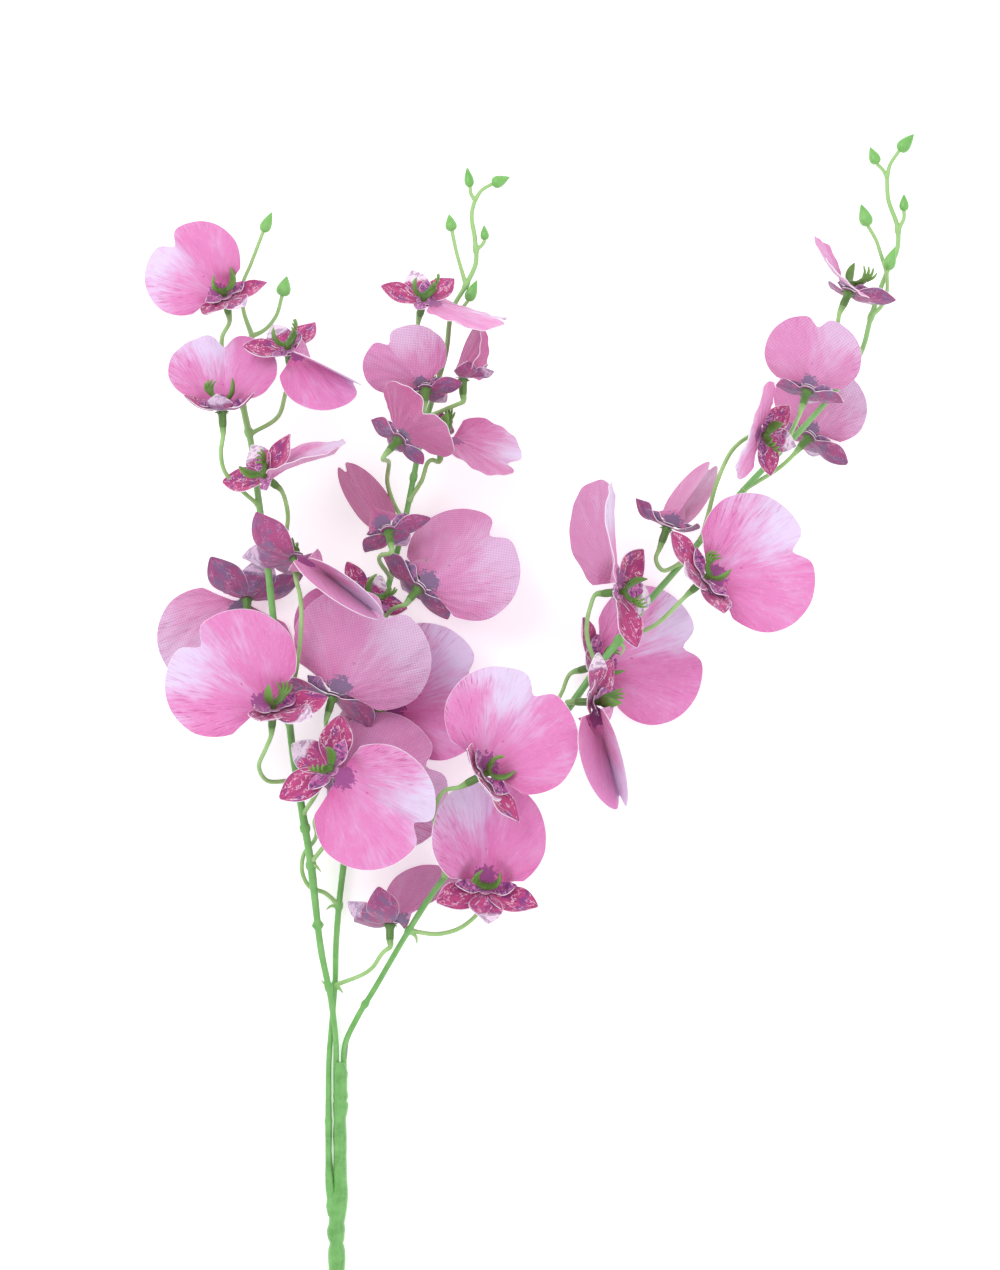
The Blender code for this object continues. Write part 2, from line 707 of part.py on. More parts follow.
# Where each bloom sits and points: the hub's pixel and height, the heading and rise of its pin,
# and those of its lip with the lip's roll. Where they differ from the plain bloom's, fold is the
# fold of its left and right lobes, star the rise of its three sepals, star_turn their turn about
# the pin, sepals their share of the plain size, and arms the column's. The stalk runs by its via
# pixels to its root on the stem. A bloom marked down rests on the surface.
BLOOMS = {
    "left_1": {"hub": (225, 297, 58), "pin": (100, 35), "lip": (134, -8, 0), "size": SMALL,
               "fold": (5, 30), "root": (243, 410), "via": [(222, 338, 41), (228, 380, 37)]},
    "left_2": {"hub": (222, 408, 66), "pin": (92, 10), "lip": (90, -30, 0), "size": SMALL,
               "star": (60, 80, 60), "root": (258, 505),
               "via": [(221, 450), (224, 470), (238, 487)]},
    "left_3": {"hub": (288, 350, 62), "pin": (95, 40), "lip": (-27, 0, 0), "size": SMALL,
               "fold": (88, 34), "star_turn": -34, "root": (248, 436),
               "via": [(285, 395), (279, 415)]},
    "left_4": {"hub": (266, 477, 62), "pin": (139, 45), "lip": (12, 10, -85), "size": SMALL,
               "star_turn": -84, "sepals": 1.1, "root": (267, 560), "via": [(287, 508), (285, 535)]},
    "left_5": {"hub": (296, 556, 58), "pin": (92, -25), "lip": (-38, 0, 0), "size": 1.0,
               "fold": (76, 76), "star": (25, 25, 80), "star_turn": 20, "sepals": 1.12,
               "arms": 0.5, "root": (288, 700),
               "via": [(300, 595, 63), (301, 630, 60), (299, 652, 54), (294, 680, 42)]},
    "left_6": {"hub": (247, 597, 24), "pin": (92, -25), "lip": (245, 0, 180), "size": 1.0,
               "star": (55, 75, 55), "sepals": 1.1,
               "root": (290, 728), "via": [(250, 640), (268, 690)], "down": True},
    "left_7": {"hub": (273, 710, 66), "pin": (85, 20), "lip": (138, -6, 0), "size": 1.0,
               "root": (295, 781), "via": [(266, 748), (259, 768), (266, 780)]},
    "left_8": {"hub": (333, 695, 50), "pin": (75, -15), "lip": (57, 5, 180), "size": 1.0,
               "star": (-25, 25, -35), "sepals": 1.1,
               "root": (303, 815), "via": [(328, 735, 46), (318, 790, 36)]},
    "left_9": {"hub": (332, 770, 66), "pin": (120, 60), "lip": (-33, -3, 0), "size": 1.0,
               "fold": (40, 5), "star": (8, 8, 8), "root": (311, 863), "via": [(324, 846)]},
    "middle_1": {"hub": (423, 301, 63), "pin": (75, 45), "lip": (-19, 0, -72), "size": SMALL,
                 "fold": (-12, 3), "star_turn": -58, "root": (440, 374),
                 "via": [(417, 338), (425, 362)]},
    "middle_2": {"hub": (426, 388, 50), "pin": (85, -35), "lip": (132, 25, 165), "size": 0.62,
                 "arms": 0.5, "root": (418, 455), "via": [(419, 430, 38)]},
    "middle_3": {"hub": (400, 438, 60), "pin": (50, -30), "lip": (42, 65, 180), "size": 0.66,
                 "root": (405, 520), "via": [(389, 463, 44), (388, 486, 26), (396, 508, 18)]},
    "middle_4": {"hub": (445, 438, 40), "pin": (75, 20), "lip": (-29, 0, -56), "size": 0.7,
                 "star": (60, 85, 60), "root": (411, 500), "via": [(433, 460), (421, 482)]},
    "middle_5": {"hub": (463, 376, 44), "pin": (90, 0), "lip": (74, -10, 84), "size": 0.64,
                 "fold": (22, 20), "star": (60, 25, 60), "arms": 0.3, "root": (428, 418),
                 "via": [(458, 404)]},
    "middle_6": {"hub": (388, 530, 46), "pin": (102, -38), "lip": (125, 0, 180), "size": SMALL,
                 "fold": (68, 72), "arms": 0.25, "root": (390, 578), "via": [(380, 556)]},
    "middle_7": {"hub": (420, 587, 36), "pin": (50, -25), "lip": (37, 0, 180), "size": 0.94,
                 "fold": (5, 42), "root": (380, 630), "via": [(400, 606)]},
    "middle_8": {"hub": (368, 600, 30), "pin": (45, 35), "lip": (235, 0, 0), "size": SMALL,
                 "root": (374, 660), "via": []},
    "middle_9": {"hub": (381, 712, 15.5), "pin": (100, 60), "lip": (23, 0, 0), "size": 1.0,
                 "root": (356, 770), "via": [(376, 735)]},
    "middle_10": {"hub": (390, 922, 31), "pin": (90, -15), "lip": (28, 0, 180), "size": SMALL,
                  "fold": (105, 42), "star": (25, 60, 80), "star_turn": 40, "sepals": 1.25,
                  "arms": 0.25, "root": (335, 985), "via": [(386, 950), (372, 968)]},
    "middle_11": {"hub": (340, 800, 35), "pin": (35, -20), "lip": (22, 0, 180), "size": 1.0,
                  "root": (339, 905),
                  "via": [(314, 841, 16), (304, 854, 13), (302, 871, 12), (310, 887, 10),
                          (325, 893, 9)]},
    "right_1": {"hub": (850, 290, 50), "pin": (65, -12), "lip": (146, 46, 66), "size": 0.62,
                "sepals": 1.3, "root": (862, 352), "via": [(838, 325), (845, 345)]},
    "right_2": {"hub": (808, 389, 57), "pin": (70, -25), "lip": (80, 0, 180), "size": 0.68,
                "root": (770, 462), "via": [(797, 420, 52), (788, 438, 43)]},
    "right_3": {"hub": (763, 435, 56), "pin": (0, 65), "lip": (160, 76, 0), "size": 0.7,
                "fold": (0, 0), "star": (8, 30, 8), "root": (700, 540),
                "via": [(735, 447, 50), (717, 482, 50), (708, 515, 45)]},
    "right_4": {"hub": (810, 436, 22), "pin": (48, -25), "lip": (70, 0, 180), "size": 0.68,
                "sepals": 1.2, "root": (748, 495), "via": [(785, 463, 27)], "down": True},
    "right_5": {"hub": (668, 525, 46), "pin": (70, -3), "lip": (55, 0, 180), "size": SMALL,
                "fold": (70, 74), "star": (40, 30, 55), "arms": 0.2, "root": (683, 562),
                "via": [(656, 557), (662, 570)]},
    "right_6": {"hub": (705, 579, 66), "pin": (42, 25), "lip": (18, -15, 0), "size": 1.0,
                "root": (621, 640), "via": [(680, 602), (650, 628)]},
    "right_7": {"hub": (619, 592, 56), "pin": (5, 30), "lip": (98, 0, 62), "size": 1.0,
                "fold": (22, -64), "star_turn": 73, "root": (597, 668), "via": [(590, 608), (587, 635)]},
    "right_8": {"hub": (596, 666, 22), "pin": (15, 20), "lip": (12, -15, 0), "size": 1.0,
                "root": (540, 745), "via": [(562, 692)], "down": True},
    "right_9": {"hub": (594, 702, 50), "pin": (0, 15), "lip": (-74, 0, 0), "size": 1.0,
                "fold": (78, 64), "root": (573, 702), "via": []},
    "right_10": {"hub": (483, 775, 76), "pin": (28, 12), "lip": (56, 0, 0), "size": 1.0,
                 "root": (445, 878),
                 "via": [(446, 790, 70), (436, 804, 64), (434, 819, 56), (437, 836, 48),
                         (442, 856, 42)]},
    "right_11": {"hub": (485, 890, 50), "pin": (80, 45), "lip": (88, -5, 0), "size": 1.0,
                 "fold": (42, 36), "root": (410, 930), "via": [(465, 925), (438, 934)]},
}


def stem_line(stem):
    """The stem's centre line, and the radius of each ring, with a swelling at each leaf node."""
    places = [spot(*place) for place in stem["route"]]
    length = sum(np.linalg.norm(b - a) for a, b in zip(places, places[1:]))
    dense = smooth_line(places, round(length / MM))
    along = np.linspace(0, length, len(dense))
    low, thick, tip = (value * MM for value in stem["radii"])
    wanted = list(np.arange(0, length + 1e-6, length / round(length / STEM_STEP)))
    knots = [along[nearest_index(dense, node)] for node in stem["nodes"]]
    room = KNOT_CLEAR * KNOT_HALF
    wanted = [at for at in wanted if min(abs(at - knot) for knot in knots) > room]
    for knot in knots:
        wanted += [knot - KNOT_HALF, knot, knot + KNOT_HALF]
    wanted = np.sort(wanted)
    line = np.column_stack([np.interp(wanted, along, dense[:, axis]) for axis in range(3)])
    radii = np.interp(wanted / length, [0, 0.36, 0.5, 1.0], [low, low, thick, tip])
    radii *= np.where(np.isin(wanted, knots), KNOT_SWELL, 1)
    return line, radii, int(np.searchsorted(wanted, BORE_LENGTH))


def add_stem(side, stem, blooms, material):
    line, radii, bore_count = stem_line(stem)
    name = "stem_" + side
    pieces = [bored_tube(name + "_main", line, radii, bore_count, STEM_SIDES, material)]
    for index, (stalk, tip, width) in enumerate(stem["buds"]):
        pieces.append(bud(f"{name}_bud{index}", stalk, tip, width, material))
    for index, (base, tip) in enumerate(stem["thorns"]):
        pieces.append(thorn(f"{name}_thorn{index}", base, tip, material))
    fine = smooth_line(line, 5 * len(line))
    for label, bloom in blooms.items():
        pieces += stalk_pieces(f"{name}_{label}", bloom, fine, material)
    return fuse(name, pieces, material)


def add_wire(side, stem, material):
    """The steel core, from the cut end to just short of the end of its bore."""
    line, _, count = stem_line(stem)
    core = line[:count].copy()
    core[-1] = core[-2] + (core[-1] - core[-2]) * 0.9
    return tube("wire_" + side, core, [WIRE_RADIUS] * count, STEM_SIDES, material)


def add_wrap(material):
    """The binding sleeve round the three strands, with a flat underside on the surface."""
    height = WRAP_OUTSIDE * math.cos(math.pi / WRAP_SIDES)
    axis_x = spot(WRAP_AXIS_PIXEL, CUT_PIXEL, height / MM)[0]
    angles = (np.arange(WRAP_SIDES) + 0.5) * 2 * math.pi / WRAP_SIDES - math.pi / 2
    rings = []
    for radius, down in (
        (WRAP_OUTSIDE, CUT_PIXEL - 3),
        (WRAP_OUTSIDE, WRAP_TOP_PIXEL),
        (WRAP_OUTSIDE - WRAP_BEVEL, WRAP_TOP_PIXEL - 3),
        (WRAP_INSIDE, WRAP_TOP_PIXEL - 3),
        (WRAP_INSIDE, CUT_PIXEL - 3),
    ):
        y = spot(0, down, height / MM)[1]
        x = axis_x + radius * np.cos(angles)
        z = height + radius * np.sin(angles)
        rings.append(np.column_stack([x, np.full(WRAP_SIDES, y), z]))
    faces = [face[::-1] for face in ring_faces(5, WRAP_SIDES)]
    last = 4 * WRAP_SIDES
    for k in range(WRAP_SIDES):
        after = (k + 1) % WRAP_SIDES
        faces.append([k, after, last + after, last + k])
    return add_object("tape_wrap", np.vstack(rings), faces, material)


clear_scene()
STEM_PLASTIC = finish_of("moulded green plastic", (0.20, 0.52, 0.13), 0.5)
WRAP_PLASTIC = finish_of("green wrap", (0.16, 0.45, 0.10), 0.55)
CLOTH_PRINT = finish_of("printed pink cloth", (0.75, 0.25, 0.52), 0.85)
WIRE_STEEL = finish_of("drawn steel wire", (0.55, 0.55, 0.56), 0.35, 1.0)

for bloom in BLOOMS.values():
    settle(bloom)
for side, stem in STEMS.items():
    carried = {name: bloom for name, bloom in BLOOMS.items() if name.startswith(side)}
    add_stem(side, stem, carried, STEM_PLASTIC)
    add_wire(side, stem, WIRE_STEEL)
for name, bloom in BLOOMS.items():
    add_bloom("bloom_" + name, bloom, CLOTH_PRINT)
add_wrap(WRAP_PLASTIC)
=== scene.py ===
"""Artificial dancing lady orchid spray, laid down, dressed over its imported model."""

import math

import bpy
import numpy as np
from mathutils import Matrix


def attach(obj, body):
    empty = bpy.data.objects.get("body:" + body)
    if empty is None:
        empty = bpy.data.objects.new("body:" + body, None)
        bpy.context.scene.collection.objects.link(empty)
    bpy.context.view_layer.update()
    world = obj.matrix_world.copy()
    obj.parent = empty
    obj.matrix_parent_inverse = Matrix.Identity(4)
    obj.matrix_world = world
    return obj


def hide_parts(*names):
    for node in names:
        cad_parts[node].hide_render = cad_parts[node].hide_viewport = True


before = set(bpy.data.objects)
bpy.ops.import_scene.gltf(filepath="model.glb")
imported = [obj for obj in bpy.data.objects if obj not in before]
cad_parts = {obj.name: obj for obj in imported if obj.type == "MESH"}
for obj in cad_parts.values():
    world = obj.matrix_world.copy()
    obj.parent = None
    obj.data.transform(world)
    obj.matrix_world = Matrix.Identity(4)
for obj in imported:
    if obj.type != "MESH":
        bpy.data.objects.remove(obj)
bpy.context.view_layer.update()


# The steel cores
#
# A drawn steel wire runs up inside each stem from its cut end. Only its end shows.

MM = 0.001


def linear(code):
    """An sRGB hex colour as linear red, green, blue and alpha."""
    parts = [int(code[k : k + 2], 16) / 255 for k in (1, 3, 5)]
    return (*[p / 12.92 if p <= 0.04045 else ((p + 0.055) / 1.055) ** 2.4 for p in parts], 1.0)


def add_node(tree, kind, inputs, output=0, **settings):
    """Adds a shader node with its settings, values and links, and gives one of its outputs.

    Inputs go by name or in the node's own order. Each is another node's output, a hex colour or
    a plain value.
    """
    node = tree.nodes.new("ShaderNode" + kind)
    for name, value in settings.items():
        setattr(node, name, value)
    for key, value in inputs.items() if isinstance(inputs, dict) else enumerate(inputs):
        if isinstance(value, bpy.types.NodeSocket):
            tree.links.new(value, node.inputs[key])
        else:
            node.inputs[key].default_value = linear(value) if isinstance(value, str) else value
    return node.outputs[output]


def new_material(name, roughness, **sockets):
    """A material's tree and its Principled shader, with constants on the shader's own sockets."""
    material = bpy.data.materials.new(name)
    material.use_nodes = True
    shader = material.node_tree.nodes["Principled BSDF"]
    shader.inputs["Roughness"].default_value = roughness
    for key, value in sockets.items():
        shader.inputs[key.replace("_", " ")].default_value = value
    return material, material.node_tree, shader


def clouded(name, roughness, grain, detail, dark, light, **sockets):
    """A material whose colour lies between two others, in soft clouds as wide as its grain."""
    material, tree, shader = new_material(name, roughness, **sockets)
    place = add_node(tree, "TexCoord", {}, "Object")
    clouds = add_node(tree, "TexNoise", {"Vector": place, "Scale": 1 / grain, "Detail": detail})
    colours = {"Factor": clouds, "A": dark, "B": light}
    colour = add_node(tree, "Mix", colours, "Result", data_type="RGBA")
    tree.links.new(colour, shader.inputs["Base Color"])
    return material


# Bare drawn steel: mid grey, with a soft shine and fine specks.
steel = clouded("drawn steel wire", 0.35, 1.111 * MM, 2.0, "#77797C", "#A3A5A8", Metallic=1.0)
for side in ("left", "middle", "right"):
    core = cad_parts["wire_" + side]
    core.data.materials.clear()
    core.data.materials.append(steel)


# The three branch stems
#
# Each is moulded in one piece from green polyethylene: a slightly lumpy stem with swollen leaf
# nodes, short curled bracts, and thin twigs at its tip that carry the buds.

PIXEL = 0.5 * MM  # what one pixel of the picture measures on the spray
ORIGIN_PIXEL = (532.5, 776)  # where the origin shows
EYE_PIXEL = (500, 635)  # the picture's middle, under the eye
EYE_HEIGHT = 2.4  # metres from the eye down to the middle height
MID_HEIGHT = 40 * MM
CUT_PIXEL = 1410  # the picture's row of the cut ends, below its edge
TWIST_FOOT_PIXEL = 1200
TWIST_TOP_PIXEL = 1072
WRAP_AXIS_PIXEL = 336.5
TWIST_SHIFT = 3.5
WRAP_HEIGHT = 4.1  # millimetres from the surface to the wrap's axis
STRAND_SPACING = 1.85  # millimetres from the wrap's axis to a strand's
TWIST_SPACING = 1.95
NODE_SWELL = 0.42  # share by which a leaf node is thicker than its stem
NODE_SPREAD = 1.9 * MM
COLLAR = (318, 925)  # one node on the left stem is a short thick collar
COLLAR_SWELL = 0.85
COLLAR_SPREAD = 1.35 * MM
STEM_SIDES = 14
TWIG_SIDES = 10
SHOOTS = (  # the step along it, its end's radius, what its base has more, how that falls, its tone
    ("twigs", 0.8 * MM, 0.95 * MM, 0.45 * MM, 6, 0.8),
    ("bracts", 0.5 * MM, 0.12 * MM, 1.1 * MM, 0.8, 0.6),
)
CLOUD_SIZE = 7.143 * MM  # of the plastic's lighter and darker patches
RIPPLE_SIZE = 1.4286 * MM  # of the low ripples that the mould leaves
RIPPLE_DEPTH = 0.2 * MM
BORE_RADIUS = 0.85 * MM
BORE_SHOWN = 5 * MM


def spot(across, down, height):
    """The place that shows at a pixel of the picture, at a height in millimetres.

    A pixel's size shrinks in step with the distance from the eye that is over the middle.
    """
    spread = PIXEL * (1 - (height * MM - MID_HEIGHT) / EYE_HEIGHT)
    eye_x = (EYE_PIXEL[0] - ORIGIN_PIXEL[0]) * PIXEL
    eye_y = (ORIGIN_PIXEL[1] - EYE_PIXEL[1]) * PIXEL
    x = eye_x + (across - EYE_PIXEL[0]) * spread
    y = eye_y + (EYE_PIXEL[1] - down) * spread
    return np.array([x, y, height * MM])


def smooth_step(value):
    """The value held within 0 and 1, then eased: three times its square less twice its cube."""
    value = np.clip(value, 0, 1)
    return value * value * (3 - 2 * value)


def gone_along(points):
    """How far each place lies from the first, along straight stretches."""
    return np.concatenate([[0], np.cumsum(np.linalg.norm(np.diff(points, axis=0), axis=1))])


def smooth_line(points, step):
    """Places about a step apart on a smooth curve through the points.

    Each stretch is a cubic whose end slopes weigh the two neighbouring stretches by length.
    """
    points = np.array(points)
    gaps = np.linalg.norm(np.diff(points, axis=0), axis=1)[:, None]
    slopes = np.diff(points, axis=0) / gaps
    inner = (slopes[:-1] * gaps[1:] + slopes[1:] * gaps[:-1]) / (gaps[1:] + gaps[:-1])
    ends = np.vstack([slopes[:1], inner, slopes[-1:]])
    t = np.linspace(0, 1, 24, endpoint=False)[:, None]
    dense = [
        a * (1 + 2 * t) * (1 - t) ** 2 + b * t * t * (3 - 2 * t)
        + (t * (1 - t) ** 2 * out - t * t * (1 - t) * back) * gap
        for a, b, out, back, gap in zip(points, points[1:], ends, ends[1:], gaps)
    ]
    dense = np.vstack([*dense, points[-1]])
    along = gone_along(dense)
    wanted = np.linspace(0, along[-1], max(3, round(along[-1] / step) + 1))
    return np.column_stack([np.interp(wanted, along, dense[:, axis]) for axis in range(3)])


def tube_faces(rows, sides):
    """The quads between neighbouring rings of points, and a face over each end."""
    k = np.arange(sides)
    low = (np.arange(rows - 1) * sides)[:, None]
    after = (k + 1) % sides
    quads = np.stack([low + k, low + after, low + sides + after, low + sides + k], axis=-1)
    ends = [k[::-1].tolist(), ((rows - 1) * sides + k).tolist()]
    return quads.reshape(-1, 4).tolist() + ends


def rod(path, radii, sides=12, wide=1.0, side=None):
    """A closed rod's points and faces.

    Each ring is place + radius (wide cos a, sin a) in a frame square to the path, which is
    carried along it without twist.
    """
    ahead = np.gradient(path, axis=0)
    ahead /= np.linalg.norm(ahead, axis=1)[:, None]
    if side is None:
        side = np.cross(ahead[0], np.eye(3)[np.argmin(abs(ahead[0]))])
    angles = np.linspace(0, 2 * math.pi, sides, endpoint=False)
    rings = np.empty((len(path), sides, 3))
    for row, (place, tangent, radius) in enumerate(zip(path, ahead, radii)):
        side = side - tangent * (side @ tangent)
        side = side / np.linalg.norm(side)
        over = np.cross(tangent, side)
        ring = wide * np.outer(np.cos(angles), side) + np.outer(np.sin(angles), over)
        rings[row] = place + radius * ring
    return rings.reshape(-1, 3), tube_faces(len(path), sides)


def linked_object(name, data):
    """A new object with the data, put in the scene."""
    thing = bpy.data.objects.new(name, data)
    bpy.context.scene.collection.objects.link(thing)
    return thing


def moulding(name, rods, material, tones=None):
    """One piece of several rods. A rod's tone goes to the attribute of that name."""
    points = np.vstack([p for p, _ in rods])
    faces = []
    start = 0
    for rod_points, rod_faces in rods:
        faces += [[start + k for k in face] for face in rod_faces]
        start += len(rod_points)
    mesh = bpy.data.meshes.new(name)
    mesh.from_pydata(points.tolist(), [], faces)
    mesh.shade_smooth()
    mesh.set_sharp_from_angle(angle=math.radians(60))
    tones = tones or [0.0] * len(rods)
    tone = np.concatenate([np.broadcast_to(t, len(p)) for t, (p, _) in zip(tones, rods)])
    mesh.attributes.new("tone", "FLOAT", "POINT").data.foreach_set("value", tone.astype(np.float32))
    mesh.materials.append(material)
    piece = linked_object(name, mesh)
    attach(piece, "root")
    return piece


def bundle_line(angle, last_angle):
    """A strand's places in the wrap and, for a pair, in the twist above it, from the cut end."""
    places = []
    for down in np.arange(CUT_PIXEL, TWIST_TOP_PIXEL, -16):
        share = smooth_step((TWIST_FOOT_PIXEL + 8 - down) / 40)
        risen = (TWIST_FOOT_PIXEL - down) / (TWIST_FOOT_PIXEL - TWIST_TOP_PIXEL)
        now = math.radians(angle + (last_angle - angle) * share + 90 * np.clip(risen, 0, 1))
        off = STRAND_SPACING + (TWIST_SPACING - STRAND_SPACING) * share
        across = WRAP_AXIS_PIXEL + TWIST_SHIFT * share + off * math.cos(now) * MM / PIXEL
        places.append((across, down, WRAP_HEIGHT + off * math.sin(now)))
    return places


STEMS = {
    "left": {
        "route": bundle_line(90, 90) + [
            (336, 1045, 6), (331, 1000, 11), (321, 950, 14), (315, 900, 18), (311, 865, 21),
            (302, 810, 26), (292, 745, 31), (286, 690, 34), (274, 622, 37), (267, 560, 39),
            (259, 503, 40), (251, 443, 40), (243, 400, 40), (245, 370, 39), (252, 336, 37),
        ],
        "radii": (1.45, 2.0, 1.55),
        "nodes": [(330, 988), (318, 925), (311, 865), (305, 828), (267, 560), (249, 433)],
        "twigs": [
            [(252, 336, 37), (243, 308, 36), (243, 283, 35), (250, 266, 34), (263, 232, 34)],
            [(252, 336, 37), (263, 331, 36), (276, 316, 35), (282, 296, 34)],
        ],
        "bracts": [
            [(330, 988, 11), (325, 984, 12), (321, 980, 12)],
            [(262, 541, 40), (258, 537, 41), (255, 531, 41)],
            [(312, 864, 22), (317, 867, 23), (321, 872, 23)],
        ],
    },
    "middle": {
        "route": [
            (333.3, 1410, 3.2), (333.3, 1310, 3.2), (333.3, 1215, 3.2), (332.4, 1190, 3.4),
            (329, 1155, 4), (328.5, 1100, 4), (329, 1060, 4), (333, 1010, 4.5), (335, 985, 5),
            (336, 945, 6), (339, 905, 7), (344, 862, 6), (352, 800, 5), (362, 724, 6),
            (374, 660, 10), (385, 600, 14), (395, 560, 18), (405, 520, 22), (414, 475, 26),
            (422, 435, 29), (436, 388, 32), (446, 352, 33), (453, 308, 34), (466, 285, 34),
            (476, 262, 33), (475, 240, 33), (472, 212, 32), (475, 200, 32),
        ],
        "radii": (1.45, 1.9, 1.1),
        "nodes": [(335, 985), (339, 905), (393, 560), (414, 478), (466, 285), (477, 249)],
        "twigs": [
            [(466, 285, 34), (463, 275, 34), (456, 250, 34), (452, 231, 34)],
            [(453, 306, 34), (461, 308, 35), (468, 301, 35)],
            [(477, 249, 33), (482, 245, 33), (485, 240, 33)],
            [(475, 200, 32), (471, 194, 32), (470, 187, 32)],
            [(475, 200, 32), (482, 190, 32), (492, 184, 32)],
        ],
        "bracts": [
            [(338, 907, 7), (331, 906, 8), (326, 910, 9)],
            [(336, 986, 5), (340, 989, 6), (343, 993, 6)],
        ],
    },
    "right": {
        "route": bundle_line(330, 270) + [
            (345, 1045, 5), (357, 1018, 8), (375, 988, 13), (397, 950, 22), (409, 930, 28),
            (430, 897, 36), (460, 857, 39), (500, 800, 39), (540, 745, 37), (573, 702, 34),
            (597, 668, 34), (619, 640, 34), (645, 606, 35), (683, 562, 36), (714, 524, 36),
            (748, 485, 36), (780, 452, 36), (810, 420, 36), (842, 382, 35), (862, 350, 34),
            (871, 317, 33), (887, 272, 31), (897, 250, 30), (898, 230, 29), (888, 198, 28),
            (887, 177, 27),
        ],
        "radii": (1.45, 2.0, 1.1),
        "nodes": [(366, 1005), (409, 930), (597, 668), (619, 640), (871, 317), (898, 229)],
        "twigs": [
            [(887, 272, 31), (882, 258, 31), (876, 240, 31), (868, 226, 31)],
            [(873, 314, 33), (880, 308, 34), (886, 296, 34), (887, 270, 35)],
            [(899, 228, 29), (904, 218, 29), (904, 211, 29)],
            [(887, 177, 27), (883, 170, 27), (877, 164, 27)],
            [(887, 177, 27), (890, 165, 27), (899, 151, 27)],
        ],
        "bracts": [
            [(411, 932, 28), (416, 937, 29), (417, 944, 29)],
            [(619, 642, 34), (624, 648, 36), (620, 656, 36)],
        ],
    },
}


def nearest_index(line, pixel):
    """Which place on a stem's line lies nearest to a pixel of the picture."""
    seen = np.array([spot(*pixel, place[2] / MM) for place in line])
    return int(np.argmin(np.linalg.norm(seen[:, :2] - line[:, :2], axis=1)))


def plastic(name, dark, light, pale, roughness):
    """Moulded plastic: soft cloudy green, a satin skin and low ripples from the mould."""
    material, tree, shader = new_material(
        name, roughness, IOR=1.5, Subsurface_Weight=0.05, Subsurface_Radius=(0.002, 0.003, 0.001)
    )
    place = add_node(tree, "TexCoord", {}, "Object")
    clouds = add_node(
        tree, "TexNoise", {"Vector": place, "Scale": 1 / CLOUD_SIZE, "Detail": 4.0, "Roughness": 0.6}
    )
    ripples = add_node(tree, "TexNoise", {"Vector": place, "Scale": 1 / RIPPLE_SIZE, "Detail": 2.0})
    tone = add_node(tree, "Attribute", {}, "Fac", attribute_name="tone")
    colour = dark
    for factor, over in ((add_node(tree, "MapRange", (clouds, 0.32, 0.68)), light), (tone, pale)):
        colours = {"Factor": factor, "A": colour, "B": over}
        colour = add_node(tree, "Mix", colours, "Result", data_type="RGBA")
    skin = add_node(tree, "MapRange", (clouds, 0.3, 0.7, roughness - 0.08, roughness + 0.1))
    bump = add_node(tree, "Bump", {"Strength": 0.35, "Distance": RIPPLE_DEPTH, "Height": ripples})
    tree.links.new(colour, shader.inputs["Base Color"])
    tree.links.new(skin, shader.inputs["Roughness"])
    tree.links.new(bump, shader.inputs["Normal"])
    return material


# Moulded polyethylene: a soft mid green with a satin shine, paler towards the tips.
stem_plastic = plastic("moulded polyethylene stem", "#68A854", "#7FB96B", "#A8CE88", 0.42)
stem_lines = {}
chance = np.random.default_rng(11)
for side, stem in STEMS.items():
    line = smooth_line([spot(*place) for place in stem["route"]], 1.2 * MM)
    stem_lines[side] = line
    share = np.linspace(0, 1, len(line))
    low, thick, tip = (radius * MM for radius in stem["radii"])
    radii = np.interp(share, [0, 0.36, 0.5, 1.0], [low, low, thick, tip])
    waves = np.interp(share, np.linspace(0, 1, 90), chance.uniform(-1, 1, 90))
    radii = radii * (1 + 0.05 * waves)
    length = np.linalg.norm(np.diff(line, axis=0), axis=1).mean()
    for pixel in stem["nodes"]:
        away = (np.arange(len(line)) - nearest_index(line, pixel)) * length
        swell, reach = (COLLAR_SWELL, COLLAR_SPREAD) if pixel == COLLAR else (NODE_SWELL, NODE_SPREAD)
        radii = radii * (1 + swell * np.exp(-((away / reach) ** 4)))
    # The faces turn back into the stem at its cut end, which leaves the core's bore open.
    inner = line[0] + (line[4] - line[0]) / np.linalg.norm(line[4] - line[0]) * BORE_SHOWN
    outside, faces = rod(line, radii, STEM_SIDES)
    bore, bore_faces = rod(np.array([line[0], inner]), [BORE_RADIUS] * 2, STEM_SIDES)
    count = len(outside)
    around = list(range(STEM_SIDES))
    faces.remove(around[::-1])
    faces += [[count + k for k in face[::-1]] for face in bore_faces[:-2]]
    faces.append([count + STEM_SIDES + k for k in around][::-1])
    faces += [[k, count + k, count + (k + 1) % STEM_SIDES, (k + 1) % STEM_SIDES] for k in around]
    rods = [(np.vstack([outside, bore]), faces)]
    pale = 0.75 * smooth_step((share - 0.72) / 0.28)
    tones = [np.concatenate([np.repeat(pale, STEM_SIDES), np.zeros(len(bore))])]
    for kind, step, thin, more, fall, paleness in SHOOTS:
        for shoot in stem[kind]:
            path = smooth_line([spot(*place) for place in shoot], step)
            left = 1 - np.linspace(0, 1, len(path))
            rods.append(rod(path, thin + more * left**fall, TWIG_SIDES))
            tones.append(paleness)
    piece = moulding(f"stem_{side}_moulding", rods, stem_plastic, tones)
    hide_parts("stem_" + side)


# The binding at the cut ends
#
# The stems are bound by green vinyl that was put on hot. It runs in lumps and waists over the
# left and right stems' twist, and further down over all three. It rests flat on its underside.

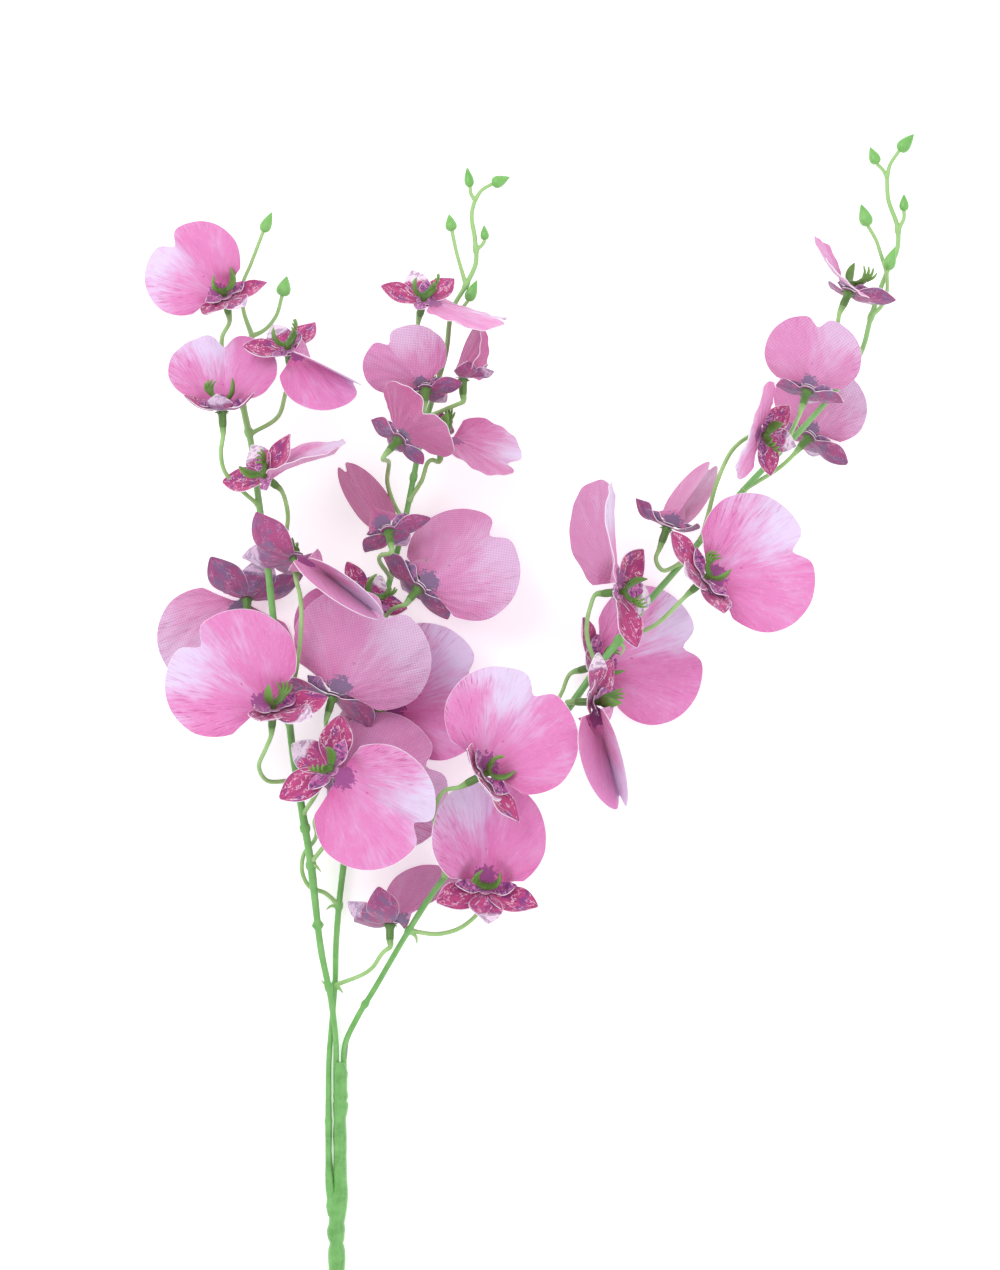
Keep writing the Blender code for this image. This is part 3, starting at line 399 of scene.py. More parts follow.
COATING = [  # the picture's row, the middle's column, half widths across and in height, in mm
    (1407, 336.5, 4.5, 4.1), (1392, 336.2, 4.8, 4.2), (1370, 336.8, 4.2, 4.0),
    (1352, 336.4, 4.9, 4.2), (1330, 336.5, 4.4, 4.1), (1309, 336.8, 4.8, 4.2),
    (1290, 336.3, 4.3, 4.0), (1270, 336.5, 4.0, 4.1), (1256, 336.6, 4.5, 4.2),
    (1249, 336.5, 4.3, 4.1), (1243, 336.4, 3.4, 3.8), (1238, 336.2, 4.3, 4.1),
    (1230, 336.0, 4.7, 4.2), (1223, 336.4, 4.0, 3.9), (1217, 337.2, 4.3, 4.1),
    (1206, 337.0, 5.1, 4.2), (1198, 338.5, 4.9, 4.1), (1190, 340.6, 3.8, 3.9),
    (1180, 340.4, 3.3, 3.8), (1168, 340.2, 3.4, 3.8), (1155, 340.2, 3.3, 3.7),
    (1148, 340.0, 3.3, 3.8), (1137, 340.0, 3.6, 3.8), (1126, 339.9, 3.3, 3.7),
    (1120, 339.7, 2.9, 3.5), (1112, 340.2, 3.5, 3.8), (1104, 340.6, 3.9, 3.9),
    (1101, 340.4, 3.3, 3.8), (1096, 340.8, 3.9, 3.8), (1090, 340.3, 3.3, 3.7),
    (1080, 340.6, 3.5, 3.8), (1073, 341.0, 3.7, 3.7), (1067, 340.6, 3.0, 3.4),
    (1062, 340.4, 2.4, 2.9),
]
THIN_COATING = [  # the same over the middle stem beside them
    (1216, 332.6, 2.4), (1206, 331.6, 2.7), (1199, 330.8, 1.9), (1190, 330.6, 2.6),
    (1182, 329.6, 2.1), (1174, 329.0, 2.0), (1166, 328.8, 1.7), (1150, 328.6, 1.6),
    (1125, 328.5, 1.75), (1121, 328.4, 2.0), (1117, 328.6, 1.6), (1100, 328.5, 1.55),
]


def sleeve(rows, sides):
    """A closed lumpy sleeve along Y.

    Its rings are ellipses on smoothed rows, grained by 5 % with a coarse grid of random values,
    and none goes lower than the surface.
    """
    rows = np.array([(*row, row[-1]) if len(row) == 3 else row for row in rows])
    down = np.linspace(rows[0, 0], rows[-1, 0], int(abs(rows[0, 0] - rows[-1, 0]) * 0.8))
    across, wide, high = (np.interp(-down, -rows[:, 0], rows[:, k]) for k in (1, 2, 3))
    middle = np.interp(down, [1062, 1085], [5.6, WRAP_HEIGHT])
    path = np.array([spot(a, d, h) for a, d, h in zip(across, down, middle)])
    angles = np.linspace(0, 2 * math.pi, sides, endpoint=False)
    spots = sides // 3
    rough = np.random.default_rng(5).uniform(-1, 1, (len(down) // 7 + 2, spots))
    around = np.arange(sides) / 3
    grain = np.array([np.interp(around, np.arange(spots), row, period=spots) for row in rough])
    rows_at = np.linspace(0, len(rough) - 1, len(down))
    grain = np.array([np.interp(rows_at, np.arange(len(rough)), part) for part in grain.T]).T
    grain = 1 + 0.05 * grain
    x = path[:, :1] + wide[:, None] * MM * np.cos(angles) * grain
    z = path[:, 2:] + high[:, None] * MM * np.sin(angles) * grain
    y = np.broadcast_to(path[:, 1:2], x.shape)
    rings = np.stack([x, y, np.maximum(z, 0.02 * MM)], axis=-1)
    return rings.reshape(-1, 3), [face[:1] + face[:0:-1] for face in tube_faces(len(down), sides)]


# Dipped vinyl: the same green, glossier.
vinyl = plastic("dipped vinyl binding", "#629F51", "#79B766", "#86BE70", 0.3)
binding = moulding("binding", [sleeve(COATING, 24)], vinyl)
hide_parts("tape_wrap")
moulding("binding_middle", [sleeve(THIN_COATING, 18)], vinyl)


# Stalks and calyx caps
#
# Every bloom hangs on a thin pale stalk that leaves its stem at a node. The stalk swells into a
# knobbly socket, and a darker calyx cap with short teeth is pressed against the back of the cloth.

SMALL = 0.76  # the size of most upper blooms, as a share of the lower ones'
HUB_HALF = 1.6 * MM
CLEARANCE = 0.3 * MM
CALYX_LENGTH = 7 * MM
COLLAR_LENGTH = 4 * MM
STALK_HEIGHT = 30  # millimetres, at which the lengths between a stalk's places are compared


def flower(hub, pin, lip, size, root, via, **own):
    """A bloom: its hub's pixel and height, its pin's heading and rise, and its lip's with a roll.

    Then come its size, the pixel where its stalk leaves the stem, the stalk's places on the way
    from the hub, and whatever sets it apart from the others.
    """
    return {"hub": hub, "pin": pin, "lip": lip, "size": size, "root": root, "via": via, **own}


# Painted shade darkens the lips of middle_3 to middle_6 and right_5, in the share given.
BLOOMS = {
    "left_1": flower((225, 297, 58), (100, 35), (134, -8, 0), SMALL, (243, 410),
        [(222, 338, 41), (228, 380, 37)], fold=(5, 30)),
    "left_2": flower((222, 408, 66), (92, 10), (90, -30, 0), SMALL, (258, 505),
        [(221, 450), (224, 470), (238, 487)], star=(60, 80, 60)),
    "left_3": flower((288, 350, 62), (95, 40), (-27, 0, 0), SMALL, (248, 436),
        [(285, 395), (279, 415)], fold=(88, 34), star_turn=-34),
    "left_4": flower((266, 477, 62), (139, 45), (12, 10, -85), SMALL, (267, 560),
        [(287, 508), (285, 535)], star_turn=-84, sepals=1.1),
    "left_5": flower((296, 556, 58), (92, -25), (-38, 0, 0), 1.0, (288, 700),
        [(300, 595, 63), (301, 630, 60), (299, 652, 54), (294, 680, 42)], fold=(76, 76),
        star=(25, 25, 80), star_turn=20, sepals=1.12, arms=0.5),
    "left_6": flower((247, 597, 13.085), (92, -25), (245, 0, 180), 1.0, (290, 728),
        [(250, 640), (268, 690)], star=(55, 75, 55), sepals=1.1),
    "left_7": flower((273, 710, 66), (85, 20), (138, -6, 0), 1.0, (295, 781),
        [(266, 748), (259, 768), (266, 780)]),
    "left_8": flower((333, 695, 50), (75, -15), (57, 5, 180), 1.0, (303, 815),
        [(328, 735, 46), (318, 790, 36)], star=(-25, 25, -35), sepals=1.1),
    "left_9": flower((332, 770, 66), (120, 60), (-33, -3, 0), 1.0, (311, 863), [(324, 846)],
        fold=(40, 5), star=(8, 8, 8)),
    "middle_1": flower((423, 301, 63), (75, 45), (-19, 0, -72), SMALL, (440, 374),
        [(417, 338), (425, 362)], fold=(-12, 3), star_turn=-58),
    "middle_2": flower((426, 388, 50), (85, -35), (132, 25, 165), 0.62, (418, 455),
        [(419, 430, 38)], arms=0.5),
    "middle_3": flower((400, 438, 60), (50, -30), (42, 65, 180), 0.66, (405, 520),
        [(389, 463, 44), (388, 486, 26), (396, 508, 18)], dye=0.8),
    "middle_4": flower((445, 438, 40), (75, 20), (-29, 0, -56), 0.7, (411, 500),
        [(433, 460), (421, 482)], star=(60, 85, 60), dye=0.35),
    "middle_5": flower((463, 376, 44), (90, 0), (74, -10, 84), 0.64, (428, 418), [(458, 404)],
        fold=(22, 20), star=(60, 25, 60), arms=0.3, dye=0.7),
    "middle_6": flower((388, 530, 46), (102, -38), (125, 0, 180), SMALL, (390, 578), [(380, 556)],
        fold=(68, 72), arms=0.25, dye=0.9),
    "middle_7": flower((420, 587, 36), (50, -25), (37, 0, 180), 0.94, (380, 630), [(400, 606)],
        fold=(5, 42)),
    "middle_8": flower((368, 600, 30), (45, 35), (235, 0, 0), SMALL, (374, 660), []),
    "middle_9": flower((381, 712, 15.5), (100, 60), (23, 0, 0), 1.0, (356, 770), [(376, 735)]),
    "middle_10": flower((390, 922, 31), (90, -15), (28, 0, 180), SMALL, (335, 985),
        [(386, 950), (372, 968)], fold=(105, 42), star=(25, 60, 80), star_turn=40, sepals=1.25,
        arms=0.25),
    "middle_11": flower((340, 800, 35), (35, -20), (22, 0, 180), 1.0, (339, 905),
        [(314, 841, 16), (304, 854, 13), (302, 871, 12), (310, 887, 10), (325, 893, 9)]),
    "right_1": flower((850, 290, 50), (65, -12), (146, 46, 66), 0.62, (862, 352),
        [(838, 325), (845, 345)], sepals=1.3),
    "right_2": flower((808, 389, 57), (70, -25), (80, 0, 180), 0.68, (770, 462),
        [(797, 420, 52), (788, 438, 43)]),
    "right_3": flower((763, 435, 56), (0, 65), (160, 76, 0), 0.7, (700, 540),
        [(735, 447, 50), (717, 482, 50), (708, 515, 45)], fold=(0, 0), star=(8, 30, 8)),
    "right_4": flower((810, 436, 17.603), (48, -25), (70, 0, 180), 0.68, (748, 495),
        [(785, 463, 27)], sepals=1.2),
    "right_5": flower((668, 525, 46), (70, -3), (55, 0, 180), SMALL, (683, 562),
        [(656, 557), (662, 570)], fold=(70, 74), star=(40, 30, 55), arms=0.2, dye=0.35),
    "right_6": flower((705, 579, 66), (42, 25), (18, -15, 0), 1.0, (621, 640),
        [(680, 602), (650, 628)]),
    "right_7": flower((619, 592, 56), (5, 30), (98, 0, 62), 1.0, (597, 668),
        [(590, 608), (587, 635)], fold=(22, -64), star_turn=73),
    "right_8": flower((596, 666, 10.912), (15, 20), (12, -15, 0), 1.0, (540, 745), [(562, 692)]),
    "right_9": flower((594, 702, 50), (0, 15), (-74, 0, 0), 1.0, (573, 702), [], fold=(78, 64)),
    "right_10": flower((483, 775, 76), (28, 12), (56, 0, 0), 1.0, (445, 878),
        [(446, 790, 70), (436, 804, 64), (434, 819, 56), (437, 836, 48), (442, 856, 42)]),
    "right_11": flower((485, 890, 50), (80, 45), (88, -5, 0), 1.0, (410, 930),
        [(465, 925), (438, 934)], fold=(42, 36)),
}


def direction(heading, rise):
    """A heading in the picture, in degrees from its right, and a rise out of it."""
    turn, up = math.radians(heading), math.radians(rise)
    return np.array([math.cos(turn) * math.cos(up), math.sin(turn) * math.cos(up), math.sin(up)])


def turned(axis, degrees):
    """The matrix of a turn about an axis, by Rodrigues' formula."""
    x, y, z = axis
    cross = np.array([[0, -z, y], [z, 0, -x], [-y, x, 0]])
    angle = math.radians(degrees)
    return np.eye(3) + math.sin(angle) * cross + (1 - math.cos(angle)) * cross @ cross


def set_axes(bloom):
    """Gives a bloom the axes of its lip, its hub and its star, as columns across, along, facing.

    The hub's are the lip's after the shortest turn that brings its facing onto the pin.
    """
    heading, rise, roll = bloom["lip"]
    along = direction(heading, rise)
    facing = direction(heading, rise + 90)
    across = np.cross(along, facing)
    facing = facing * math.cos(math.radians(roll)) + across * math.sin(math.radians(roll))
    bloom["lip_axes"] = np.column_stack([np.cross(along, facing), along, facing])
    pin = direction(*bloom["pin"])
    axis = np.cross(facing, pin)
    bloom["swing"] = math.degrees(math.atan2(np.linalg.norm(axis), facing @ pin))
    bloom["swing_axis"] = axis / np.linalg.norm(axis)
    bloom["axes"] = turned(bloom["swing_axis"], bloom["swing"]) @ bloom["lip_axes"]
    bloom["star_axes"] = turned(pin, bloom.get("star_turn", 0)) @ bloom["axes"]


def stalk_path(bloom, stem):
    """From the nearest place on the stem, by the via pixels, to the back of the calyx cap."""
    pin = bloom["axes"][:, 2]
    root = stem[nearest_index(stem, bloom["root"])]
    back = bloom["place"] - pin * (HUB_HALF + CLEARANCE + CALYX_LENGTH)
    collar = back - pin * COLLAR_LENGTH
    points = bloom["via"][::-1]
    flat = [root[:2], *[spot(*point[:2], STALK_HEIGHT)[:2] for point in points], collar[:2]]
    run = gone_along(flat)
    gap_shade = []
    for point, part in zip(points, smooth_step(run / run[-1])[1:]):
        height = point[2] if len(point) > 2 else (root[2] + (collar[2] - root[2]) * part) / MM
        gap_shade.append(spot(*point[:2], height))
    return smooth_line([root, *gap_shade, collar, back], 1.0 * MM)


for index, bloom in enumerate(BLOOMS.values()):
    set_axes(bloom)
    bloom["print"] = (index * 0.618) % 1  # the golden section spreads the prints evenly
    bloom["phase"] = bloom["print"] * 6.28
    bloom["place"] = spot(*bloom["hub"])

STALK_SIDES = 12
CALYX_RISE = np.array([-8.6, -8.2, -7.2, -5.5, -3.8, -2.4, -1.2, -0.5, 0.0]) * MM
CALYX_RADII = np.array([1.3, 1.75, 1.95, 2.05, 2.0, 2.1, 2.35, 2.5, 2.45]) * MM
CALYX_TOOTH = ((1.6, 1.7), (0.8, 2.8), (1.4, 4.0))  # mm back and out, so it bends on the cloth

# The stalks are a pale yellowish green that darkens at the socket, and the caps a dark green.
stalk_plastic = plastic("moulded polyethylene stalk", "#8DBB6E", "#A6CC86", "#67934A", 0.4)
calyx_plastic = plastic("moulded polyethylene calyx", "#476F2E", "#5E893E", "#7FB45C", 0.38)
for side in STEMS:
    stalks, caps, tones = [], [], []
    for name, bloom in BLOOMS.items():
        if not name.startswith(side):
            continue
        path = stalk_path(bloom, stem_lines[side])
        gone = gone_along(path)
        left = gone[-1] - gone
        radii = 1.12 + 0.75 * np.exp(-((gone / (2.2 * MM)) ** 2))
        knobs = 1 + 0.16 * np.sin(left / MM * 3.1)
        radii = radii + 0.62 * smooth_step(1 - left / (6.5 * MM)) * knobs
        stalks.append(rod(path, radii * MM, STALK_SIDES))
        tones.append(np.repeat(0.75 * smooth_step(1 - left / (6 * MM)), STALK_SIDES))
        pin = bloom["axes"][:, 2]
        front = bloom["place"] - pin * (HUB_HALF - 0.4 * MM)
        caps.append(rod(front + CALYX_RISE[:, None] * pin, CALYX_RADII, STALK_SIDES))
        for turn in range(5):
            away = turned(pin, 72 * turn + 30) @ bloom["axes"][:, 0]
            tooth = [front + (away * out - pin * back) * MM for back, out in CALYX_TOOTH]
            tooth = smooth_line(tooth, 0.4 * MM)
            caps.append(rod(tooth, np.linspace(0.75, 0.12, len(tooth)) * MM, 6))
    moulding(f"stalks_{side}", stalks, stalk_plastic, tones)
    moulding(f"calyx_caps_{side}", caps, calyx_plastic)


# The lips with their ears
#
# Each is one piece of white polyester cloth, printed on its face, hot cut to two lobes and two
# pointed ears, and pressed into shape. The print soaks through dull to the woven back, and the
# hot cut leaves a thin white edge.

TURN_LENGTH = 8 * MM  # over which the cloth turns from the hub's plane to the lip's
BLADE_ROOT = 2.2 * MM  # from the pin's axis to where a blade begins
LAYER = 0.7 * MM  # the lip lies this far in front of the hub's middle, and the star behind
DISC_CENTRE = 22 * MM
DISC_RADIUS = 35 * MM
LOBE_SWELL = 3.2 * MM
NOTCH_DEPTH = 8.5 * MM
NOTCH_WIDTH = 5.5  # degrees
LIP_SPREAD = 78  # degrees from the lip's middle line to its outer edges
LIP_HEM = 4.8 * MM  # from the hub out to the lobes' straight lower edges
LIP_FOLD = (12, 12)  # degrees that the left and the right lobe fold forward
FOLD_START = 9 * MM  # from the hub to where they begin to
FOLD_SPAN = 11 * MM  # and on to where the fold is complete
LIP_CURL = 8  # degrees that the lip curls over CURL_REACH
CURL_REACH = 50 * MM
LIP_WAVE = 1.2 * MM  # the height of the rim's wave
WAVE_RATE = 5.2  # waves in a full turn
FRILL = 0.7 * MM
FINE_FRILL = 0.35 * MM
PLEAT = 0.3 * MM
CREASE = 0.7 * MM
CLOTH_THICK = 0.35 * MM
LOWEST = 0.25 * MM  # where a blade's middle would go through the surface, it lies on it
CUT_UNIT = 10 * MM  # one unit of the cut map, which the weave follows
THREAD_PITCH = 0.13  # units of the cut map: 1.3 mm, coarser than real cloth, so that it shows
THREAD_DEPTH = 0.15 * MM
CREASE_DEPTH = 1.2 * MM
FACE_WEAVE = 0.15  # how far the weave shows in relief under the face's print
EAR_ANGLE = 92  # degrees from the lip's middle line
EAR_LENGTH = 15 * MM
EAR_WIDTH = 3.6 * MM
EAR_LIFT = 45
RING_TURNS = 33  # places round the pin's hole
PETAL_TWIST = 40  # degrees, for a petal that is seen edge on
PETAL_SWAY = 1.3 * MM
PETAL_CUP = 0.25  # the rise of a petal's edge, as a share of its half width
CRUMPLE = 0.4 * MM
RIB = 0.5 * MM
SPOT_CENTRE = 7 * MM  # of the dark spot at the lip's root
SPOT_RADIUS = 6.2 * MM
DOT_CENTRE = 21 * MM
DOT_RADIUS = 0.9 * MM


def lip_rim(angle):
    """Distance from the hub to the rim: a disc about a centre 22 mm out, two lobes, a notch.

    The lobes swell as a squared sine of the angle, the notch is a narrow bell about the middle
    line, and the shoulders draw in by a quarter.
    """
    turn = np.radians(angle)
    disc = np.sqrt(DISC_RADIUS**2 - (DISC_CENTRE * np.sin(turn)) ** 2) + DISC_CENTRE * np.cos(turn)
    lobes = LOBE_SWELL * np.sin(np.pi * np.minimum(abs(angle), 76) / 76) ** 2
    notch = NOTCH_DEPTH * np.exp(-((angle / NOTCH_WIDTH) ** 2))
    return (disc + lobes - notch) * (1 - 0.25 * np.clip((abs(angle) - 58) / 20, 0, 1) ** 2)


def lip_points(bloom, u, v):
    """Places on the lip for u across, -1 to 1, and v from the hub, 0, to the rim, 1.

    In the sheet's plane a point is r (sin a, cos a). Each lobe folds about the middle line, the
    tip curls round X, the rim waves, and the sheet swings from the hub's plane to the lip's over
    the first 8 mm. The relief is the pressed pleats, the crease to the notch and the rim's frill.
    Also gives the angle, the radius and the flat place, which the print uses.
    """
    size = bloom["size"]
    radii = np.linspace(0, TURN_LENGTH, 17)
    turns = bloom["swing"] * (1 - smooth_step(radii / TURN_LENGTH))
    frames = np.array([turned(bloom["swing_axis"], turn) @ bloom["lip_axes"] for turn in turns])
    steps = (frames[1:] + frames[:-1]) / 2 * (radii[1] - radii[0])
    reach = np.concatenate([np.zeros((1, 3, 3)), np.cumsum(steps, axis=0)])
    drift = reach - radii[:, None, None] * bloom["lip_axes"]
    left, right = bloom.get("fold", LIP_FOLD)
    curl = math.radians(LIP_CURL) / (CURL_REACH * size)
    r = BLADE_ROOT + (lip_rim(LIP_SPREAD * u) * size - BLADE_ROOT) * v
    hem = np.degrees(np.arccos(np.clip(LIP_HEM * size / r, -1, 1)))
    angle = np.radians(np.minimum(LIP_SPREAD, np.maximum(hem, 40)) * u)
    x = r * np.sin(angle)
    y = r * np.cos(angle)
    flat = np.stack([x, y], axis=-1)
    fade = smooth_step((r / size - FOLD_START) / FOLD_SPAN)
    fold = np.radians(np.where(u < 0, left, right)) * fade
    phase = bloom["phase"]
    z = abs(x) * np.sin(fold) + LIP_WAVE * size * v**2 * np.cos(WAVE_RATE * angle)
    frill = FRILL * smooth_step((v - 0.55) / 0.45) * np.sin(11 * angle + phase)
    frill = frill + FINE_FRILL * smooth_step((v - 0.8) / 0.2) * np.sin(27 * angle + 2 * phase)
    pleats = PLEAT * smooth_step(v * 2) * np.sin(23 * angle + 4 * np.sin(2.5 * v + phase))
    crease = -CREASE * smooth_step((v - 0.25) * 2) * np.exp(-((x / (2.2 * MM)) ** 2))
    z = z + size * (frill + pleats + crease)
    x = x * np.cos(fold)
    y, z = (1 / curl - z) * np.sin(curl * y), 1 / curl - (1 / curl - z) * np.cos(curl * y)
    local = np.stack([x, y, z + LAYER], axis=-1)
    ray = np.stack([np.sin(angle), np.cos(angle), 0 * angle], axis=-1)
    inside = np.minimum(r, TURN_LENGTH)
    shift = np.stack(
        [np.interp(inside, radii, drift[:, i, j]) for i in range(3) for j in range(3)], axis=-1
    ).reshape(*r.shape, 3, 3)
    points = bloom["place"] + local @ bloom["lip_axes"].T + np.einsum("...ij,...j->...i", shift, ray)
    return points, angle, r / size, flat


def cloth(name, sheets, materials):
    """One piece of several sheets, each a grid of points with attributes.

    The face is half a thickness before the sheet's middle along its normal, which is across
    times along, and the back half behind it. A strip round the border joins them.
    """
    points, faces, slots = [], [], []
    fields = {key: [] for key in sheets[0]["fields"]}
    rays, cuts = [], []
    start = 0
    for sheet in sheets:
        middle = sheet["points"].copy()
        middle[..., 2] = np.maximum(middle[..., 2], LOWEST)
        rows, columns = middle.shape[:2]
        over = np.gradient(middle, axis=1)
        ahead = np.gradient(middle, axis=0)
        normal = np.cross(over, ahead)
        normal /= np.linalg.norm(normal, axis=-1)[..., None] + 1e-15
        count = rows * columns
        points += [(middle + way * normal * CLOTH_THICK / 2).reshape(-1, 3) for way in (1, -1)]
        at = np.arange(count).reshape(rows, columns)
        quads = np.stack([at[:-1, :-1], at[:-1, 1:], at[1:, 1:], at[1:, :-1]], -1).reshape(-1, 4)
        border = np.concatenate([at[0, :-1], at[:-1, -1], at[-1, :0:-1], at[:0:-1, 0]])
        after = np.roll(border, -1)
        strip = np.stack([border, border + count, after + count, after], axis=-1)
        faces += [start + quads, start + count + quads[:, ::-1], start + strip]
        slots += [np.zeros(len(quads), int), np.ones(len(quads), int), np.full(len(strip), 2)]
        for key, parts in fields.items():
            values = np.broadcast_to(sheet["fields"][key], (rows, columns)).reshape(-1)
            parts += [values, values]
        rays += [sheet["ray"].reshape(-1, 2)] * 2
        cuts += [sheet["cut"].reshape(-1, 2)] * 2
        start += 2 * count
    faces = np.vstack(faces)
    mesh = bpy.data.meshes.new(name)
    mesh.from_pydata(np.vstack(points).tolist(), [], faces.tolist())
    for material in materials:
        mesh.materials.append(material)
    mesh.polygons.foreach_set("material_index", np.concatenate(slots).astype(np.int32))
    for key, parts in fields.items():
        layer = mesh.attributes.new(key, "FLOAT", "POINT")
        layer.data.foreach_set("value", np.concatenate(parts).astype(np.float32))
    for key, parts in (("ray", rays), ("cut", cuts)):
        layer = mesh.uv_layers.new(name=key)
        layer.data.foreach_set("uv", np.vstack(parts)[faces.reshape(-1)].astype(np.float32).reshape(-1))
    mesh.shade_smooth()
    mesh.set_sharp_from_angle(angle=math.radians(45))
    piece = linked_object(name, mesh)
    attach(piece, "root")
    return piece


def spread(count, edge):
    """Even shares from 0 to 1 with one more close to each end, for the cut edge."""
    inner = np.linspace(edge, 1 - edge, count - 2)
    return np.array([0, *inner, 1])


def petal_sheet(bloom, axes, angle, length, width, lift, layer, fields):
    """A petal: u across and v along, a fuller half sine wide, and bent forward by its lift.

    Its two edges are cupped. Where the hub is seen from its side, the outer part is twisted about
    its length to face further the hub's way, up or down, and it sways aside.
    """
    size = bloom["size"]
    turn = math.radians(angle)
    outward = axes @ np.array([math.sin(turn), math.cos(turn), 0])
    beside = axes @ np.array([math.cos(turn), -math.sin(turn), 0])
    facing = axes[:, 2]
    u, v = np.meshgrid(2 * spread(17, 0.025) - 1, np.concatenate([spread(27, 0.018)[:-1], [0.994]]))
    length = 1.1 * length
    bend = math.radians(lift) / (length * size)
    along = (length * size - BLADE_ROOT) * v
    half = 1.2 * width * size * np.sin(np.pi * np.clip(0.05 + 0.95 * v, 0, 1)) ** 0.82
    phase = bloom["phase"] + turn * 2.3
    edge_on = -math.copysign(1 - abs(facing[2]), facing[2]) * beside[2]
    twist = math.radians(PETAL_TWIST) * edge_on * smooth_step((v - 0.1) * 1.6)
    twist = twist + math.radians(16) * math.sin(3.1 * phase) * v**2
    sway = PETAL_SWAY * size * math.sin(5.3 * phase) * v**2
    aside = half * u
    crumple = CRUMPLE * smooth_step(v * 3) * np.sin(8 * v + 3 * u + phase) * np.sin(4.5 * u + phase)
    rib = -RIB * np.exp(-((u / 0.16) ** 2)) * smooth_step(v * 4) * (1 - v)
    cup = PETAL_CUP * half * u**2 * smooth_step(v * 4)
    lifted = aside * np.sin(twist) + cup + size * (crumple + rib)
    out = BLADE_ROOT + np.sin(bend * along) / bend - lifted * np.sin(bend * along)
    rise = layer + (1 - np.cos(bend * along)) / bend + lifted * np.cos(bend * along)
    points = (
        bloom["place"] + out[..., None] * outward
        + (aside * np.cos(twist) + sway)[..., None] * beside + rise[..., None] * facing
    )
    side_edge = smooth_step((abs(u) - 0.945) / 0.05)
    tip_edge = smooth_step((v - 0.978) / 0.015)
    return {
        "points": points,
        "ray": np.stack([u * 0.5, v], axis=-1),
        "cut": np.stack([aside, along], axis=-1) / CUT_UNIT,
        "fields": {
            "edge": np.maximum(side_edge, tip_edge), "print": bloom["print"] + angle / 360,
            "dye": bloom.get("dye", 0.0), **{key: value(u, v) for key, value in fields.items()},
        },
    }


def hub_ring(bloom, radii, layer):
    """The round of cloth between the blades: circles about the pin's hole, in the hub's plane."""
    turn, out = np.meshgrid(np.linspace(0, 2 * math.pi, RING_TURNS), np.array(radii) * MM)
    x, y = np.cos(turn) * out, np.sin(turn) * out
    return {
        "points": bloom["place"] + np.stack([x, -y, 0 * out + layer], axis=-1) @ bloom["axes"].T,
        "ray": np.stack([turn, out / CUT_UNIT], axis=-1),
        "cut": np.stack([x, y], axis=-1) / CUT_UNIT,
        "fields": {"edge": 0 * turn, "print": bloom["print"], "dye": 0.0, "white": 0.0, "bars": 0.0},
    }


EASED = {"interpolation_type": "SMOOTHSTEP"}  # a range whose ends are eased


def print_noise(tree, ray_scale, detail):
    """Noise on the ray map, stretched by a scale and moved aside by the bloom's own print.

    On a lip the scale counts patches to a radian and to 10 mm out, so that 24 of them lie 1.7 mm
    apart where the lip is 40 mm out. On a petal it counts them over its width and its length.
    """
    own = add_node(tree, "Attribute", {}, "Vector", attribute_name="print")
    offset = add_node(tree, "VectorMath", {0: own, "Scale": 37.0}, operation="SCALE")
    ray = add_node(tree, "UVMap", {}, uv_map="ray")
    moved = add_node(tree, "VectorMath", (ray, ray_scale, offset), operation="MULTIPLY_ADD")
    return add_node(
        tree, "TexNoise", {"Vector": moved, "Scale": 1.0, "Detail": detail, "Roughness": 0.6}
    )


def weave(tree, shader, strength, creases):
    """Two crossed sets of threads on the cut map, as a height over the creases. Gives them."""
    cut = add_node(tree, "UVMap", {}, uv_map="cut")
    scale = 2 * math.pi / (THREAD_PITCH * math.sqrt(2)) / 10
    sets = []
    for mirror in (1, -1):
        flipped = add_node(tree, "VectorMath", (cut, (mirror, 1, 0)), operation="MULTIPLY")
        sets.append(add_node(
            tree, "TexWave", {"Vector": flipped, "Scale": scale, "Distortion": 0.4, "Detail": 0.0},
            "Fac", wave_type="BANDS", bands_direction="DIAGONAL",
        ))
    threads = add_node(tree, "Math", sets, operation="MAXIMUM")
    under = add_node(tree, "Bump", {"Strength": 0.5, "Distance": CREASE_DEPTH, "Height": creases})
    relief = {"Strength": strength, "Distance": THREAD_DEPTH, "Height": threads, "Normal": under}
    tree.links.new(add_node(tree, "Bump", relief), shader.inputs["Normal"])
    return threads


THIN_CLOTH = {  # the light that comes through the cloth, and the nap's sheen
    "Sheen_Weight": 0.2, "Sheen_Roughness": 0.5, "Subsurface_Weight": 0.45,
    "Subsurface_Scale": 0.0008, "Subsurface_Radius": (1.0, 0.7, 0.85),
}


def inked(tree, shader, colour, inks, creases, threads_and_gap_shade, edge):
    """Each ink over the colour by its factor, then painted shade between the threads on a
    cloth's back, and its edge.
    """
    threads = weave(tree, shader, threads_and_gap_shade[0] if threads_and_gap_shade else FACE_WEAVE, creases)
    if threads_and_gap_shade:
        gap_shade = add_node(tree, "MapRange", (threads, 0.15, 0.85, threads_and_gap_shade[1], 0.0), **EASED)
        inks = [*inks, (gap_shade, threads_and_gap_shade[2])]
    rim = add_node(tree, "Attribute", {}, "Fac", attribute_name="edge")
    for factor, ink in [*inks, (add_node(tree, "MapRange", (rim, 0.3, edge[0]), **EASED), edge[1])]:
        colours = {"Factor": factor, "A": colour, "B": ink}
        colour = add_node(tree, "Mix", colours, "Result", data_type="RGBA")
    tree.links.new(colour, shader.inputs["Base Color"])


